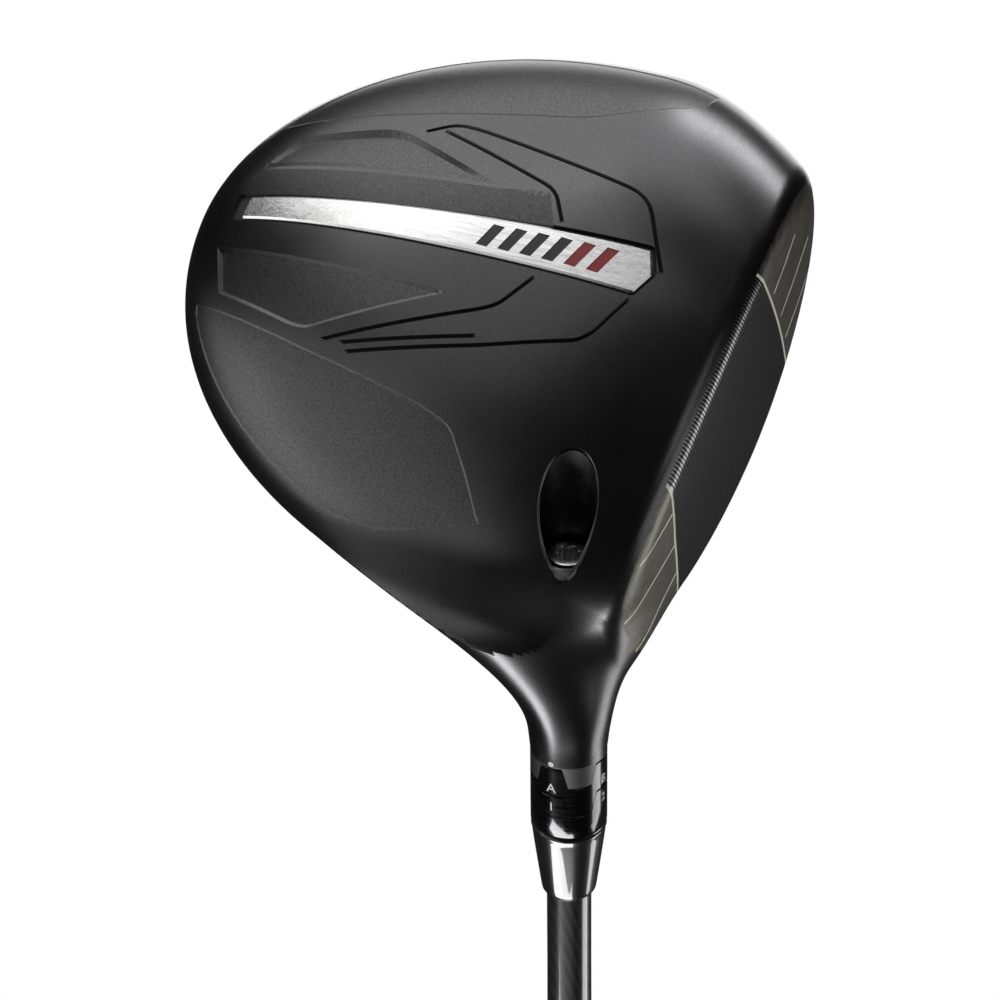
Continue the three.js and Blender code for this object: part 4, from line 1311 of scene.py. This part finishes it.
PAINT_PROUD = 0.03
RING_MARK_HEIGHT, SLEEVE_MARK_HEIGHT = 73.5, 77.8
DOT_RADIUS, DOT_HEIGHT, DOT_SIDES = 0.55, 67.9, 24


def painted(name, points, faces, body, slot):
    """A white painted piece from points in millimetres and faces of any length."""
    mesh = bpy.data.meshes.new(name)
    mesh.from_pydata((points * MM).tolist(), [], faces)
    piece = bpy.data.objects.new(name, mesh)
    bpy.context.scene.collection.objects.link(piece)
    dress(piece, [finishes["white"]])
    settle(piece, body, slot)


def written(text, size):
    """A short text as a thin solid: x to its right, y up it and z out of it, in millimetres."""
    curve = bpy.data.curves.new("writing", "FONT")
    curve.body = text
    curve.size = size
    curve.align_x = "CENTER"
    curve.align_y = "CENTER"
    curve.extrude = PAINT_PROUD
    curve.resolution_u = 4
    holder = bpy.data.objects.new("writing", curve)
    mesh = bpy.data.meshes.new_from_object(holder)
    points = np.array([tuple(v.co) for v in mesh.vertices])
    faces = [tuple(p.vertices) for p in mesh.polygons]
    bpy.data.objects.remove(holder)
    return points, faces


def marks(name, texts, size, radius, along, body, slot):
    """One text at each quarter turn, upright when the head is held above the shaft."""
    all_points, all_faces = [], []
    for quarter, text in enumerate(texts):
        points, faces = written(text, size)
        turn = -quarter * math.pi / 2 - points[:, 0] / radius
        first = sum(len(p) for p in all_points)
        all_points.append(on_axis(turn, radius + points[:, 2], along - points[:, 1]))
        all_faces += [[first + i for i in face] for face in faces]
    painted(name, np.concatenate(all_points), all_faces, body, slot)


marks("ring_marks", "ABCD", 2.9, HOSEL_RADIUS, RING_MARK_HEIGHT, "ring", "anodised")
marks("sleeve_marks", "1234", 2.7, HOSEL_RADIUS, SLEEVE_MARK_HEIGHT, "shaft_assembly", "anodised")


def hosel_dot():
    """The dot that the ring's setting is read against."""
    n = DOT_SIDES
    turns = np.linspace(0, 2 * math.pi, n, endpoint=False)
    across = DOT_RADIUS * np.sin(turns) / HOSEL_RADIUS
    along = DOT_HEIGHT + DOT_RADIUS * np.cos(turns)
    rings = [on_axis(across, HOSEL_RADIUS + lift, along) for lift in (-PAINT_PROUD, PAINT_PROUD)]
    caps = [list(range(n)), list(range(2 * n - 1, n - 1, -1))]
    sides = [[i, n + i, n + (i + 1) % n, (i + 1) % n] for i in range(n)]
    painted("hosel_dot", np.concatenate(rings), caps + sides, "head", "casting")


hosel_dot()


# ------------------------------------------------------------------ CAD nodes that stay

KEPT = {"crown_adhesive": "adhesive", "bar_adhesive": "adhesive", "rear_mass": "mass", "resin_pad": "resin",
        "screw_washer": "screw", "screw_retainer": "nylon", "sleeve_o_ring": "rubber", "tip_plug": "cork",
        "grip_tape": "tape"}
for node, finish_name in KEPT.items():
    slots = frame["nodes"][node].material_slots
    if not slots:
        frame["nodes"][node].data.materials.append(finishes[finish_name])
    for slot in slots:
        slot.material = finishes[finish_name]

# ------------------------------------------------------------------ camera, lights, floor

scene = bpy.context.scene
LOOK_FROM = Vector((0.32254, -0.36703, -0.77869))
LOOK_AT = Vector((0.04827, -0.01738, 0.00407))
PICTURE_UP = Vector((-0.86558, 0.26022, -0.42785))
sight = (LOOK_FROM - LOOK_AT).normalized()
picture_right = PICTURE_UP.cross(sight).normalized()
picture_up = sight.cross(picture_right)

camera_data = bpy.data.cameras.new("camera")
camera_data.lens = 182.6
camera_data.clip_end = 20
camera = bpy.data.objects.new("camera", camera_data)
turned_to = Matrix((picture_right, picture_up, sight)).transposed()
camera.matrix_world = Matrix.Translation(LOOK_FROM) @ turned_to.to_4x4()
scene.collection.objects.link(camera)
scene.camera = camera
scene.view_settings.view_transform = "Standard"


HEAD_MIDDLE, CARD_DISTANCE = Vector((0.02, 0.0, 0.03)), 1.3


def card(name, off_sight, around, width, height, glow):
    """A soft light, off the line of sight by an angle, at an angle round it from the picture's right."""
    tilt, turn = math.radians(off_sight), math.radians(around)
    out = sight * math.cos(tilt)
    out += (picture_right * math.cos(turn) + picture_up * math.sin(turn)) * math.sin(tilt)
    light = bpy.data.lights.new(name, "AREA")
    light.shape = "RECTANGLE"
    light.size = width
    light.size_y = height
    light.energy = glow * math.pi * width * height
    lamp = bpy.data.objects.new(name, light)
    tangent = sight.cross(out).normalized()
    other = out.cross(tangent)
    facing = Matrix((tangent, other, out)).transposed()
    lamp.matrix_world = Matrix.Translation(HEAD_MIDDLE + out * CARD_DISTANCE) @ facing.to_4x4()
    scene.collection.objects.link(lamp)


card("low_left_strip", 99, 257, 1.0, 0.4, 11.0)
card("left_strip", 92, 190, 1.1, 0.6, 1.6)
card("left_wall", 65, 185, 1.3, 0.9, 0.8)
card("top_card", 88, 105, 1.6, 1.1, 1.9)
card("top_fill", 56, 122, 1.1, 0.8, 0.8)
card("top_corner", 98, 66, 0.6, 0.3, 9.0)
card("centre_right", 24, 5, 0.5, 0.5, 1.0)
card("low_right", 60, -28, 0.8, 1.1, 1.0)
card("right_edge", 112, -27, 0.9, 0.5, 4.0)
card("above", 150, 75, 0.9, 0.8, 2.5)


def pale_floor():
    """A pale floor that is clear from below, and that takes light but gives none."""
    mesh = bpy.data.meshes.new("floor")
    reach = 3
    mesh.from_pydata([(-reach, -reach, 0), (reach, -reach, 0), (reach, reach, 0), (-reach, reach, 0)], [],
                     [(0, 1, 2, 3)])
    floor = bpy.data.objects.new("floor", mesh)
    scene.collection.objects.link(floor)
    f = Finish("pale_floor", (0.8, 0.8, 0.8), 0.7)
    f.tint(f.noise(12, 3), 0.3, 0.7, (0.78, 0.78, 0.78), (0.82, 0.82, 0.82))
    clear = f.node("ShaderNodeBsdfTransparent")
    side = f.node("ShaderNodeNewGeometry")
    pick = f.node("ShaderNodeMixShader")
    f.feed(pick.inputs["Fac"], side.outputs["Backfacing"])
    f.feed(pick.inputs[1], f.shader.outputs[0])
    f.feed(pick.inputs[2], clear.outputs[0])
    f.feed(f.tree.nodes["Material Output"].inputs["Surface"], pick.outputs[0])
    mesh.materials.append(f.material)
    floor.visible_shadow = False
    floor.visible_glossy = False
    floor.visible_diffuse = False


pale_floor()

# the studio's background is white to the camera, and gives next to no light
world = bpy.data.worlds.new("studio")
scene.world = world
world.use_nodes = True
nodes, links = world.node_tree.nodes, world.node_tree.links
nodes.clear()
seen = nodes.new("ShaderNodeLightPath")
pick = nodes.new("ShaderNodeMixShader")
out = nodes.new("ShaderNodeOutputWorld")
links.new(seen.outputs["Is Camera Ray"], pick.inputs["Fac"])
for number, tone in ((1, 0.02), (2, 1.0)):
    background = nodes.new("ShaderNodeBackground")
    background.inputs["Color"].default_value = (*grey(tone), 1)
    links.new(background.outputs[0], pick.inputs[number])
links.new(pick.outputs[0], out.inputs["Surface"])
